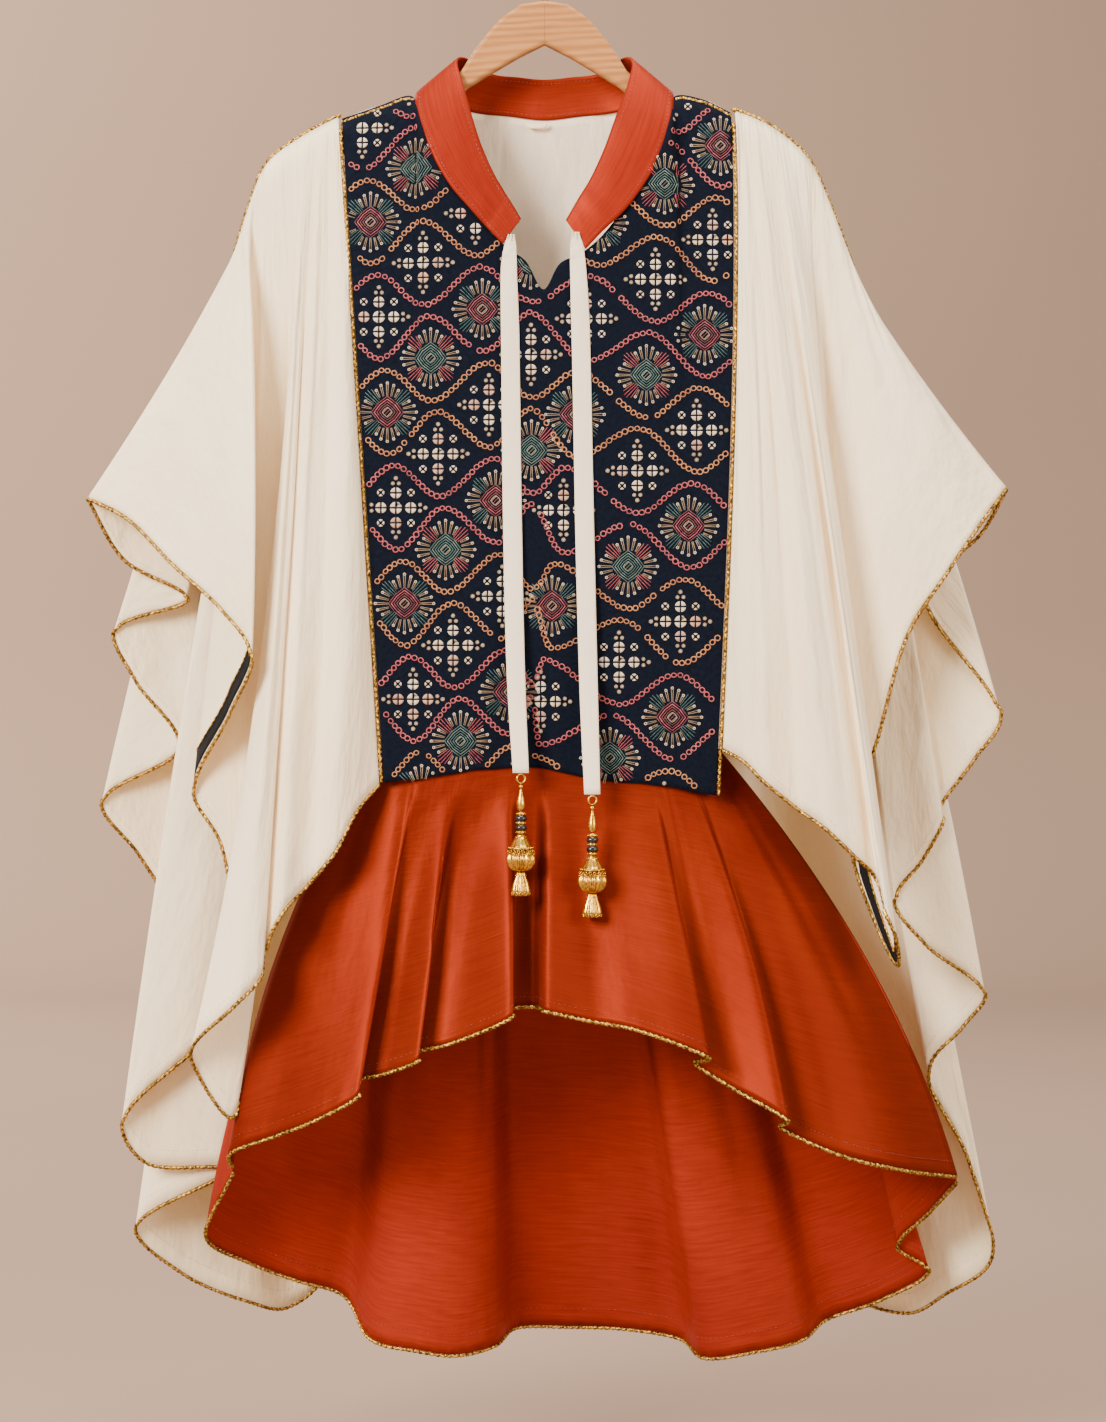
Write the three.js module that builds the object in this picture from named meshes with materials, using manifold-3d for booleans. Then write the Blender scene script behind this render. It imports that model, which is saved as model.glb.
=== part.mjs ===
// High-low tunic on a wooden hanger. Millimetres, +Z up, the front faces -Y.
// The origin is the inside top of the hanger's hook, where it hangs.
import * as THREE from 'three';
import { mergeVertices } from 'three/addons/utils/BufferGeometryUtils.js';
import Module from 'manifold-3d';

const wasm = await Module();
wasm.setup();

// Driving dimensions
const WALL = 1.5;
const SEAM_GAP = 0.3;
const SIDE_SEAM = 4.2;
const PIPING_CLEARANCE = 0.27;
const CUT_TOLERANCE = 0.02;
const ARM_THICKNESS = 12;
const ARM_WRAP = 8.5;
const SLEEVE_GAP = 1.7;
const PIPING_RADIUS = 1.2;
const HOOK_WIRE = 3.6;
const HOOK_RADIUS = 20;
const WOOD_TOP = -60;
// Outlines in the tables are as they look from this point in front of the garment
const VIEW_DISTANCE = 3000;
const VIEW_X = 7;
const VIEW_Z = -656;

// Colours and finishes
const finish = (color, roughness, metalness = 0) =>
  new THREE.MeshStandardMaterial({ color, roughness, metalness });
const NAVY = finish(0x141a24, 0.85);
const CREAM = finish(0xd9c7b4, 0.8);
const ORANGE = finish(0xd24a1c, 0.5);
const GOLD = finish(0xb8893c, 0.45, 0.7);
const WOOD = finish(0xc99c6e, 0.5);
const STEEL = finish(0xb9bcc0, 0.3, 1);
const BLACK = finish(0x14110f, 0.35);

const tunic = new THREE.Group();

function add(name, geometry, material, parent = tunic) {
  const mesh = new THREE.Mesh(geometry, material);
  mesh.name = name;
  parent.add(mesh);
  return mesh;
}

// A point given by its outline from the front and its depth
function seen(x, y, z) {
  const spread = (VIEW_DISTANCE + y) / VIEW_DISTANCE;
  return new THREE.Vector3(VIEW_X + (x - VIEW_X) * spread, y, VIEW_Z + (z - VIEW_Z) * spread);
}

function smooth(points) {
  return new THREE.CatmullRomCurve3(points, false, 'centripetal');
}

// A sheet's middle surface as a grid: rows are fold lines, from top to hem
function foldGrid(rows, place, columns, steps) {
  const lines = steps.map((t) => smooth(rows.map((row) => place(row, t))));
  return lines.map((line) =>
    Array.from({ length: columns + 1 }, (_, i) => line.getPoint(i / columns)));
}

function normalAt(grid, i, j) {
  const last = grid.length - 1;
  const end = grid[0].length - 1;
  const along = grid[i][Math.min(j + 1, end)].clone().sub(grid[i][Math.max(j - 1, 0)]);
  const down = grid[Math.min(i + 1, last)][j].clone().sub(grid[Math.max(i - 1, 0)][j]);
  return along.cross(down).normalize();
}

// A closed wall of even thickness on a grid of points
function wallOn(grid, thickness = WALL) {
  const rows = grid.length;
  const columns = grid[0].length;
  const positions = [];
  for (const side of [0.5, -0.5]) {
    for (let i = 0; i < rows; i += 1) {
      for (let j = 0; j < columns; j += 1) {
        const point = grid[i][j].clone().addScaledVector(normalAt(grid, i, j), side * thickness);
        positions.push(point.x, point.y, point.z);
      }
    }
  }
  const count = rows * columns;
  const at = (i, j, side) => side * count + i * columns + j;
  const faces = [];
  const quad = (a, b, c, d) => faces.push(a, b, c, a, c, d);
  for (let i = 0; i < rows - 1; i += 1) {
    for (let j = 0; j < columns - 1; j += 1) {
      quad(at(i, j, 0), at(i, j + 1, 0), at(i + 1, j + 1, 0), at(i + 1, j, 0));
      quad(at(i, j, 1), at(i + 1, j, 1), at(i + 1, j + 1, 1), at(i, j + 1, 1));
    }
  }
  for (let j = 0; j < columns - 1; j += 1) {
    quad(at(0, j, 0), at(0, j, 1), at(0, j + 1, 1), at(0, j + 1, 0));
    quad(at(rows - 1, j, 0), at(rows - 1, j + 1, 0), at(rows - 1, j + 1, 1), at(rows - 1, j, 1));
  }
  for (let i = 0; i < rows - 1; i += 1) {
    quad(at(i, 0, 0), at(i + 1, 0, 0), at(i + 1, 0, 1), at(i, 0, 1));
    const e = columns - 1;
    quad(at(i, e, 0), at(i, e, 1), at(i + 1, e, 1), at(i + 1, e, 0));
  }
  return closed(positions, faces);
}

// A mesh with its faces turned outwards
function closed(positions, faces) {
  let volume = 0;
  const point = (k) => new THREE.Vector3().fromArray(positions, k * 3);
  for (let k = 0; k < faces.length; k += 3) {
    volume += point(faces[k]).dot(point(faces[k + 1]).cross(point(faces[k + 2])));
  }
  if (volume < 0) faces.reverse();
  const geometry = new THREE.BufferGeometry();
  geometry.setAttribute('position', new THREE.Float32BufferAttribute(positions, 3));
  geometry.setIndex(faces);
  geometry.computeVertexNormals();
  return geometry;
}

// A round rod through points, with flat ends
function rod(points, radius, sides = 4) {
  const positions = [];
  const faces = [];
  let side = new THREE.Vector3(0, 1, 0);
  points.forEach((point, i) => {
    const next = points[Math.min(i + 1, points.length - 1)];
    const before = points[Math.max(i - 1, 0)];
    const along = next.clone().sub(before).normalize();
    side = side.clone().addScaledVector(along, -side.dot(along)).normalize();
    const other = along.clone().cross(side);
    for (let k = 0; k < sides; k += 1) {
      const angle = (k + 0.5) / sides * Math.PI * 2;
      const p = point.clone().addScaledVector(side, Math.cos(angle) * radius)
        .addScaledVector(other, Math.sin(angle) * radius);
      positions.push(p.x, p.y, p.z);
    }
  });
  for (let i = 0; i < points.length - 1; i += 1) {
    for (let k = 0; k < sides; k += 1) {
      const a = i * sides + k;
      const b = i * sides + (k + 1) % sides;
      faces.push(a, b, b + sides, a, b + sides, a + sides);
    }
  }
  const last = (points.length - 1) * sides;
  for (let k = 1; k < sides - 1; k += 1) {
    faces.push(0, k + 1, k);
    faces.push(last, last + k, last + k + 1);
  }
  return closed(positions, faces);
}

// Piping just past the edge of a grid: its last row, or its first or last column
function edgePiping(grid, edge) {
  const end = grid.length - 1;
  const last = grid[0].length - 1;
  const pairs = {
    hem: grid[0].map((_, j) => [grid[end][j], grid[end - 1][j]]),
    first: grid.map((row) => [row[0], row[1]]),
    last: grid.map((row) => [row[last], row[last - 1]]),
  }[edge];
  const out = PIPING_RADIUS + 2 * SEAM_GAP;
  return pairs.map(([rim, inner], k) => {
    const after = pairs[Math.min(k + 1, pairs.length - 1)][0];
    const along = after.clone().sub(pairs[Math.max(k - 1, 0)][0]).normalize();
    const away = rim.clone().sub(inner);
    away.addScaledVector(along, -away.dot(along)).normalize();
    return rim.clone().addScaledVector(away, out);
  });
}

function solidOf(geometry) {
  const plain = geometry.clone();
  plain.deleteAttribute('normal');
  const merged = mergeVertices(plain, 1e-4);
  const vertProperties = new Float32Array(merged.attributes.position.array);
  const triVerts = new Uint32Array(merged.index.array);
  return new wasm.Manifold(new wasm.Mesh({ numProp: 3, vertProperties, triVerts }));
}

// A wall with room made for the piping beside it, the largest piece of it kept
function clearOf(geometry, ...rods) {
  let solid = solidOf(geometry);
  for (const cutter of rods) solid = solid.subtract(solidOf(cutter));
  const pieces = solid.decompose().sort((a, b) => b.volume() - a.volume());
  const mesh = pieces[0].simplify(CUT_TOLERANCE).getMesh();
  const cut = new THREE.BufferGeometry();
  cut.setAttribute('position', new THREE.Float32BufferAttribute(mesh.vertProperties, 3));
  cut.setIndex(Array.from(mesh.triVerts));
  cut.computeVertexNormals();
  return cut;
}

// How far down each fold line the grid has its points, close together at the top
const WING_STEPS = [0, 0.012, 0.035, 0.09, 0.24, 0.48, 0.76, 1];
const SKIRT_STEPS = [0, 0.12, 0.36, 0.68, 1];

// The two shoulder seams, from the panel to the sleeve: across and up
const SHOULDER_LEFT = [[-171, -157], [-189, -166], [-208, -177], [-233, -197], [-247, -230], [-260, -272]];
const SHOULDER_RIGHT = [[157, -152], [176, -159], [196, -170], [221, -193], [240, -233], [265, -302]];

function shoulderPoint(seam, s) {
  return smooth(seam.map(([x, z]) => new THREE.Vector3(x, 0, z))).getPoint(s);
}

// A wing's fold line: s along the shoulder seam, then its hem point as seen, then its bow.
// The line at s 0 is the seam beside the bodice.
function wingLine(seam, face) {
  const side = Math.sign(seam[0][0]);
  const bodice = face < 0 ? PANEL : BACK_BODICE;
  const edge = side < 0 ? bodice[0] : bodice[bodice.length - 1];
  return ([s, x, y, z, bow = 0], t) => {
    if (s === 0) {
      const beside = bodiceLine(face)(edge, t);
      beside.x += side * SIDE_SEAM;
      return beside;
    }
    const top = shoulderPoint(seam, s);
    const hem = seen(x, y, z);
    const drop = top.distanceTo(hem) * t;
    const room = ARM_WRAP * Math.min(1, (1 - s) / 0.25);
    const wrap = face * (SLEEVE_GAP + room * (1 - Math.exp(-drop / 5)));
    const point = top.clone().lerp(hem, t);
    point.x += bow * 4 * t * (1 - t);
    point.y = wrap + (hem.y - face * (SLEEVE_GAP + room)) * (1 - (1 - t) ** 2);
    return point;
  };
}

// Fold lines of the wings: s, then the hem point x, y, z, and the bow sideways
const WING_FRONT_LEFT = [
  [0],
  [0.03, -158, -48, -738, 8],
  [0.07, -178, -58, -775, 6],
  [0.12, -198, -50, -799, 6],
  [0.17, -222, -64, -826, 4],
  [0.22, -235, -56, -855, 2],
  [0.27, -239, -66, -878, 2],
  [0.34, -262, -72, -903, 0],
  [0.42, -296, -46, -938, 0],
  [0.46, -290, -30, -960, 4],
  [0.50, -262, -16, -996, 10],
  [0.58, -258, -14, -860, 4],
  [0.66, -270, -12, -768, 0],
  [0.73, -294, -12, -722, 0],
  [0.80, -262, -18, -655, 6],
  [0.86, -246, -26, -606, 6],
  [0.90, -270, -32, -570, 0],
  [0.94, -310, -26, -533, 0],
  [0.975, -350, -16, -493, 0],
  [1.00, -383, -1.7, -476, 4],
];
const WING_BACK_LEFT = [
  [1.00, -383, 1.7, -476, 4],
  [0.97, -352, 18, -528, 0],
  [0.94, -300, 24, -560, 4],
  [0.91, -360, 32, -586, -2],
  [0.87, -342, 40, -630, 0],
  [0.83, -306, 46, -684, 4],
  [0.79, -371, 56, -730, -6],
  [0.74, -340, 68, -775, -2],
  [0.69, -296, 72, -842, 4],
  [0.63, -256, 56, -905, 8],
  [0.57, -298, 34, -942, 0],
  [0.51, -354, 34, -998, -6],
  [0.46, -334, 50, -1034, 0],
  [0.40, -268, 58, -1040, 6],
  [0.33, -343, 76, -1087, -4],
  [0.24, -305, 106, -1126, 0],
  [0.16, -250, 140, -1150, 4],
  [0.10, -215, 176, -1155, 4],
  [0.05, -180, 182, -1120, 6],
  [0],
];
const WING_FRONT_RIGHT = [
  [0],
  [0.04, 168, -50, -697, 5],
  [0.08, 186, -58, -715, 3],
  [0.13, 212, -50, -736, 2],
  [0.19, 236, -66, -753, 0],
  [0.25, 262, -58, -778, 0],
  [0.31, 278, -48, -794, 0],
  [0.36, 287, -62, -824, -2],
  [0.42, 295, -54, -846, -2],
  [0.49, 296, -30, -868, -4],
  [0.57, 280, -14, -836, -6],
  [0.65, 258, -12, -760, -8],
  [0.73, 280, -18, -672, -2],
  [0.81, 304, -26, -590, 0],
  [0.88, 336, -30, -540, 0],
  [0.94, 362, -24, -502, 0],
  [1.00, 387, -1.7, -468, -4],
];
const WING_BACK_RIGHT = [
  [1.00, 387, 1.7, -468, -4],
  [0.97, 366, 18, -505, 0],
  [0.94, 320, 24, -555, -4],
  [0.90, 382, 32, -658, 6],
  [0.86, 360, 38, -695, 2],
  [0.82, 330, 44, -738, -4],
  [0.77, 334, 34, -745, 6],
  [0.72, 316, 38, -780, 2],
  [0.67, 294, 40, -812, -4],
  [0.61, 322, 44, -852, 0],
  [0.54, 369, 52, -891, 8],
  [0.48, 350, 62, -920, 2],
  [0.42, 322, 72, -955, -4],
  [0.35, 356, 84, -1030, 4],
  [0.28, 374, 96, -1115, 6],
  [0.20, 336, 122, -1144, 2],
  [0.13, 302, 150, -1160, 0],
  [0.06, 240, 176, -1130, -4],
  [0],
];

// The orange skirt's fold lines: top x, then the hem point x, y, z, and the bow sideways
const SKIRT_TOP_Z = -688;
const SKIRT_TOP_DEPTH = 29;
const SKIRT_TOP_HALF = 146;
const SKIRT_FLARE = 2.4;
const SKIRT_FRONT = [
  [-146, -262, 14, -1038, -20],
  [-140, -264, -12, -1026, -18],
  [-130, -228, -36, -1012, -10],
  [-118, -190, -62, -997, -4],
  [-106, -156, -74, -977, 0],
  [-98, -166, -50, -966, 0],
  [-88, -138, -52, -960, 0],
  [-74, -106, -76, -948, 0],
  [-62, -114, -52, -942, 0],
  [-48, -80, -58, -934, 0],
  [-30, -27, -86, -911, 0],
  [-18, -36, -56, -905, 0],
  [-8, -8, -50, -903, 0],
  [2, 2, -84, -907, 0],
  [26, 38, -74, -915, 0],
  [52, 76, -84, -922, 0],
  [78, 138, -94, -946, 4],
  [88, 126, -66, -950, 4],
  [98, 160, -68, -972, 6],
  [110, 204, -84, -998, 10],
  [118, 198, -58, -1004, 10],
  [126, 250, -60, -1028, 16],
  [136, 300, -36, -1040, 20],
  [146, 346, 14, -1046, 26],
];
const SKIRT_BACK = [
  [-146, -262, 16, -1042, -20],
  [-143, -284, 50, -1096, -18],
  [-134, -248, 92, -1118, -12],
  [-122, -208, 112, -1133, -8],
  [-110, -168, 124, -1146, -4],
  [-98, -146, 98, -1182, -2],
  [-84, -108, 84, -1192, 0],
  [-66, -74, 88, -1196, 0],
  [-50, -42, 108, -1188, 0],
  [-34, -24, 142, -1173, 0],
  [-8, 20, 150, -1172, 0],
  [22, 70, 146, -1174, 0],
  [44, 114, 134, -1182, 0],
  [58, 134, 96, -1198, 0],
  [76, 176, 88, -1193, 2],
  [90, 216, 106, -1183, 4],
  [102, 236, 132, -1166, 8],
  [114, 280, 116, -1150, 12],
  [126, 322, 84, -1124, 18],
  [134, 296, 76, -1104, 20],
  [140, 322, 46, -1076, 24],
  [146, 346, 16, -1050, 26],
];

function skirtLine(face) {
  return ([topX, x, y, z, bow], t) => {
    const side = 1 - Math.abs(topX / SKIRT_TOP_HALF) ** 6;
    const top = new THREE.Vector3(topX, face * (0.9 + SKIRT_TOP_DEPTH * side), SKIRT_TOP_Z);
    const hem = seen(x, y, z);
    const point = top.clone().lerp(hem, t);
    point.x += bow * 4 * t * (1 - t);
    point.y = top.y + (hem.y - top.y) * t ** SKIRT_FLARE;
    return point;
  };
}

// The front panel and the back bodice: top x, z, then the hem x, z, and how far the top stands out
const PANEL_DEPTH = 32;
const RIGHT_BULGE = 6;
const PANEL = [
  [-170, -159, -135, -716, 0.05],
  [-138, -148, -118, -714, 0.06],
  [-112, -140, -105, -713, 0.10],
  [-105, -157, -101, -712, 0.50],
  [-96, -186, -92, -711, 0.80],
  [-80, -214, -78, -709, 0.95],
  [-60, -236, -60, -706, 1],
  [-46, -253, -46, -705, 1],
  [-30, -268, -31, -704, 1],
  [-16, -278, -18, -703, 1],
  [-1, -302, -3, -704, 1],
  [13, -280, 12, -707, 1],
  [30, -272, 30, -711, 1],
  [46, -259, 46, -714, 1],
  [64, -237, 64, -716, 1],
  [84, -209, 82, -717, 0.95],
  [98, -181, 98, -719, 0.80],
  [105, -156, 108, -720, 0.50],
  [110, -140, 116, -722, 0.10],
  [133, -143, 130, -725, 0.06],
  [156, -154, 144, -727, 0.05],
];
const BACK_BODICE = [
  [-170, -159, -142, -700, 0.05],
  [-138, -148, -122, -700, 0.06],
  [-108, -142, -100, -700, 0.20],
  [-64, -154, -64, -700, 0.98],
  [-36, -157, -36, -700, 1],
  [0, -161, 0, -700, 1],
  [36, -157, 36, -700, 1],
  [64, -154, 64, -700, 0.98],
  [104, -142, 100, -700, 0.20],
  [133, -143, 122, -700, 0.06],
  [156, -154, 142, -700, 0.05],
];
const PANEL_STEPS = [0, 0.02, 0.06, 0.14, 0.3, 0.55, 0.78, 1];

function bodiceLine(face) {
  return ([topX, topZ, hemX, hemZ, out], t) => {
    const bulge = topX > 100 ? RIGHT_BULGE * Math.sin(Math.PI * t ** 0.7) : 0;
    const x = topX + (hemX - topX) * t + bulge;
    const z = topZ + (hemZ - topZ) * t;
    const drop = Math.abs(z - topZ);
    const start = PANEL_DEPTH * out;
    const wrap = Math.min(PANEL_DEPTH, 2 + start + (ARM_WRAP + 2) * (1 - Math.exp(-drop / 5)));
    const y = wrap + (PANEL_DEPTH - wrap) * (1 - (1 - t) ** 4);
    return seen(x, face * Math.max(y, start), z);
  };
}

// Half of the collar, from its front end round to the middle of the back:
// the seam edge x, z, then the free edge x, z, and how far back each station is
const COLLAR_LEFT = [
  [-34, -262, -20, -243, -32],
  [-46, -249, -30, -226, -32],
  [-60, -233, -41, -208, -32],
  [-78, -211, -52, -184, -30],
  [-93, -184, -60, -160, -26],
  [-104, -155, -68, -131, -17],
  [-107, -137, -73, -109, -3],
  [-98, -138, -66, -108, 12],
  [-62, -153, -45, -121, 28],
  [-28, -157, -22, -124, 32],
  [0, -160, 0, -126, 32],
];
const COLLAR_RIGHT = [
  [33, -266, 18, -244, -32],
  [46, -252, 26, -230, -32],
  [66, -232, 38, -210, -32],
  [86, -203, 50, -184, -30],
  [98, -177, 60, -156, -26],
  [104, -153, 69, -132, -17],
  [107, -137, 73, -109, -3],
  [98, -138, 66, -108, 12],
  [62, -153, 45, -121, 28],
  [28, -157, 22, -124, 32],
];
const COLLAR_WALL = 1.8;
const COLLAR_COLUMNS = 30;
const COLLAR_STEPS = [0, 0.5, 1];

function collarLine([seamX, seamZ, freeX, freeZ, y], t) {
  const crown = y < 0 ? -2 : 2;
  const depth = y + crown * 4 * t * (1 - t) + (y < 0 ? 1 : -1) * 3 * t;
  return seen(seamX + (freeX - seamX) * t, depth, seamZ + (freeZ - seamZ) * t);
}

const collarGrid = foldGrid([...COLLAR_LEFT, ...[...COLLAR_RIGHT].reverse()],
  collarLine, COLLAR_COLUMNS, COLLAR_STEPS);

// The bodice
const panelGrid = foldGrid(PANEL, bodiceLine(-1), PANEL.length * 2 - 2, PANEL_STEPS);
const backGrid = foldGrid(BACK_BODICE, bodiceLine(1), BACK_BODICE.length * 2 - 2, PANEL_STEPS);
add('panel_front', wallOn(panelGrid), NAVY);
add('back_bodice', wallOn(backGrid), CREAM);
add('collar', wallOn(collarGrid, COLLAR_WALL), ORANGE);

// The skirt
const SKIRT_COLUMNS = 50;
const skirtGrids = {
  front: foldGrid(SKIRT_FRONT, skirtLine(-1), SKIRT_COLUMNS, SKIRT_STEPS),
  back: foldGrid(SKIRT_BACK, skirtLine(1), SKIRT_COLUMNS, SKIRT_STEPS),
};
for (const [side, grid] of Object.entries(skirtGrids)) {
  const hem = edgePiping(grid, 'hem');
  add(`skirt_${side}`, clearOf(wallOn(grid), rod(hem, PIPING_RADIUS + PIPING_CLEARANCE)), ORANGE);
  add(`skirt_${side}_hem_piping`, rod(hem, PIPING_RADIUS), GOLD);
}

// The wings
const WINGS = {
  front_left: [WING_FRONT_LEFT, SHOULDER_LEFT, -1],
  back_left: [WING_BACK_LEFT, SHOULDER_LEFT, 1],
  front_right: [WING_FRONT_RIGHT, SHOULDER_RIGHT, -1],
  back_right: [WING_BACK_RIGHT, SHOULDER_RIGHT, 1],
};
const WING_COLUMNS = 38;
for (const [name, [rows, seam, face]] of Object.entries(WINGS)) {
  const grid = foldGrid(rows, wingLine(seam, face), WING_COLUMNS, WING_STEPS);
  const hem = edgePiping(grid, 'hem');
  const beside = edgePiping(panelGrid, name.endsWith('left') ? 'first' : 'last');
  const cutters = [hem, beside].map((line) => rod(line, PIPING_RADIUS + PIPING_CLEARANCE));
  add(`wing_${name}`, clearOf(wallOn(grid), ...cutters), CREAM);
  add(`wing_${name}_hem_piping`, rod(hem, PIPING_RADIUS), GOLD);
}

// Piping on the shoulder seams and on the panel's sides
for (const [side, seam] of [['left', SHOULDER_LEFT], ['right', SHOULDER_RIGHT]]) {
  const points = Array.from({ length: 13 }, (_, k) => {
    const point = shoulderPoint(seam, k / 12);
    point.z += PIPING_RADIUS + 1.5 * SEAM_GAP;
    return point;
  });
  add(`shoulder_piping_${side}`, rod(points, PIPING_RADIUS), GOLD);
}
for (const [side, edge] of [['left', 'first'], ['right', 'last']]) {
  const points = edgePiping(panelGrid, edge).slice(2);
  add(`panel_piping_${side}`, rod(points, PIPING_RADIUS), GOLD);
}

// A tie: a flat ribbon that leaves the collar's end narrow and hangs in front of the panel
const TIE_WALL = 1.2;
const TIE_STEPS = 16;
const TIE_LEFT = [
  [-28, -256, 5, -36.2],
  [-29, -266, 10, -36],
  [-30, -282, 13, -35.2],
  [-29, -340, 15, -35.1],
  [-27, -500, 15.5, -36],
  [-24, -630, 15, -43],
  [-20, -708, 13, -55],
];
const TIE_RIGHT = [
  [26, -254, 5, -36.2],
  [27, -266, 11, -36],
  [28, -282, 13, -35.2],
  [30, -330, 15, -35.1],
  [34, -520, 15.5, -36],
  [37, -640, 15, -44],
  [40, -726, 13, -58],
];

function tieGrid(rows) {
  const middle = smooth(rows.map(([x, z, , y]) => seen(x, y, z)));
  const widths = smooth(rows.map(([, , width]) => new THREE.Vector3(width, 0, 0)));
  return Array.from({ length: TIE_STEPS + 1 }, (_, i) => {
    const centre = middle.getPoint(i / TIE_STEPS);
    const half = widths.getPoint(i / TIE_STEPS).x / 2;
    return [-1, 0, 1].map((k) => centre.clone().add(new THREE.Vector3(k * half, Math.abs(k), 0)));
  });
}
add('tie_left', wallOn(tieGrid(TIE_LEFT), TIE_WALL), CREAM);
add('tie_right', wallOn(tieGrid(TIE_RIGHT), TIE_WALL), CREAM);

// A pendant hangs from each tie: profiles as radius and distance below the tie's end
const PENDANT_SIDES = 10;
const DROP = [[0, 9.2], [1.8, 10], [2, 11.4], [1, 13], [1.6, 16], [3, 21], [3.6, 26], [2.8, 30], [0, 31.5]];
const BEADS = [[0, 31.8], [3.8, 32], [3.8, 35], [4.7, 35.4], [4.7, 39], [3.8, 39.4], [3.8, 42.6],
  [4.7, 43], [4.7, 47], [3.8, 47.4], [3.8, 50], [0, 50.2]];
const CAP = [[0, 50.5], [3.6, 50.6], [6, 54], [8.9, 60.5], [10.6, 61.5], [10.6, 63], [0, 63.2]];
const MELON = [[0, 63.5], [7, 64.2], [10.6, 67], [12, 71], [10.8, 76], [7, 80], [0, 81]];
const BELL = [[0, 81.3], [3.8, 81.5], [3.8, 83], [4.2, 85], [6.4, 90], [8, 96.5], [8, 101],
  [7.2, 101], [7.2, 96.5], [5.4, 90], [0, 87]];
const LOOP_RADIUS = 3.6;
const LOOP_WIRE = 0.7;
const LOOP_DROP = 4.6;

function lathe(profile, sides = PENDANT_SIDES) {
  const points = profile.map(([radius, below]) => new THREE.Vector2(radius, -below)).reverse();
  return new THREE.LatheGeometry(points, sides).rotateX(Math.PI / 2);
}

function addPendant(side, x, y, z) {
  const pendant = new THREE.Group();
  pendant.position.copy(seen(x, y, z));
  const loop = new THREE.TorusGeometry(LOOP_RADIUS, LOOP_WIRE, 6, 14).translate(0, -LOOP_DROP, 0);
  add(`pendant_${side}_loop`, loop.rotateX(Math.PI / 2), GOLD, pendant);
  for (const [name, profile, material] of [['drop', DROP, GOLD], ['beads', BEADS, BLACK],
    ['cap', CAP, GOLD], ['melon', MELON, GOLD], ['bell', BELL, GOLD]]) {
    add(`pendant_${side}_${name}`, lathe(profile), material, pendant);
  }
  tunic.add(pendant);
}
addPendant('left', -20, -55, -708.2);
addPendant('right', 40, -58, -726.2);

// The hanger: one bar of wood, its outline from the middle to the left end, and mirrored
const WOOD_UPPER = [
  [0, -60], [-20, -63], [-36, -74], [-47, -86], [-60, -103], [-70, -119], [-84, -130],
  [-106, -142], [-136, -152], [-170, -166], [-200, -181], [-224, -200],
];
const WOOD_LOWER = [
  [-226, -209], [-216, -214], [-196, -202], [-166, -188], [-132, -176], [-104, -166],
  [-84, -151], [-64, -133], [-46, -122], [-22, -108], [0, -97],
];
const WOOD_BEVEL = 3;

function woodGeometry() {
  const left = [...WOOD_UPPER, ...WOOD_LOWER];
  const right = left.slice(1, -1).reverse().map(([x, z]) => [-x * 0.985, z]);
  const shape = new THREE.Shape([...left, ...right].map(([x, z]) => new THREE.Vector2(x, z)));
  const depth = ARM_THICKNESS - 2 * WOOD_BEVEL;
  const bevel = { bevelThickness: WOOD_BEVEL, bevelSize: WOOD_BEVEL, bevelOffset: -WOOD_BEVEL };
  const geometry = new THREE.ExtrudeGeometry(shape, { depth, bevelSegments: 2, steps: 1, ...bevel });
  return geometry.translate(0, 0, -depth / 2).rotateX(Math.PI / 2);
}
add('hanger_wood', woodGeometry(), WOOD);

// The hook: a steel rod, bent round the rail that it hangs on
function hookPoints() {
  const round = HOOK_RADIUS + HOOK_WIRE / 2;
  const centre = -HOOK_RADIUS;
  const points = [];
  for (let degrees = -80; degrees <= 145; degrees += 12.5) {
    const angle = THREE.MathUtils.degToRad(degrees);
    points.push(new THREE.Vector3(round * Math.sin(angle), 0, centre + round * Math.cos(angle)));
  }
  const shank = [[7, -42], [2.5, -47], [0.5, -52], [0, -56], [0, WOOD_TOP + SEAM_GAP]];
  return points.concat(shank.map(([x, z]) => new THREE.Vector3(x, 0, z)));
}
add('hanger_hook', rod(hookPoints(), HOOK_WIRE / 2, 8), STEEL);

export default tunic;
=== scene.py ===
"""High-low tunic on a wooden hanger: navy embroidered front, cream capes, orange collar and skirt."""
import math
import random

import bmesh
import bpy
from mathutils import Matrix, Vector
from mathutils.bvhtree import BVHTree


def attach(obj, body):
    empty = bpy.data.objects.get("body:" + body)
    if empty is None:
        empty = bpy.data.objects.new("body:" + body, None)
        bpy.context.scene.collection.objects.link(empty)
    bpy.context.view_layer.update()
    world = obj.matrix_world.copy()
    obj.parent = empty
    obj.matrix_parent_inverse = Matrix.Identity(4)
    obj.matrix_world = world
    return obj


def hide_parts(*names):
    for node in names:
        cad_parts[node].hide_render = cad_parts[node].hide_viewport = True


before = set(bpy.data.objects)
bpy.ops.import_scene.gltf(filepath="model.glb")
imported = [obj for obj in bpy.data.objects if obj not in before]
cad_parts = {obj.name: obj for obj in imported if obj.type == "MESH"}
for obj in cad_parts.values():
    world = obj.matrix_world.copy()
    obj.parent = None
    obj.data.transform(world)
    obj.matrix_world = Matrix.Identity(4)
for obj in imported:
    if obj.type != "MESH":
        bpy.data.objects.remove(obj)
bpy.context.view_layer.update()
MM = 0.001
draw = random.Random(7)

# The view that the outlines below were read in, in millimetres
VIEW_DISTANCE = 3000
VIEW_X = 7
VIEW_Z = -656
FRAME_HEIGHT = 1194
SENSOR = 36


# Stands a piece that lies flat upright, its Y side up
UPRIGHT = Matrix.Rotation(math.pi / 2, 4, "X")


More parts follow.
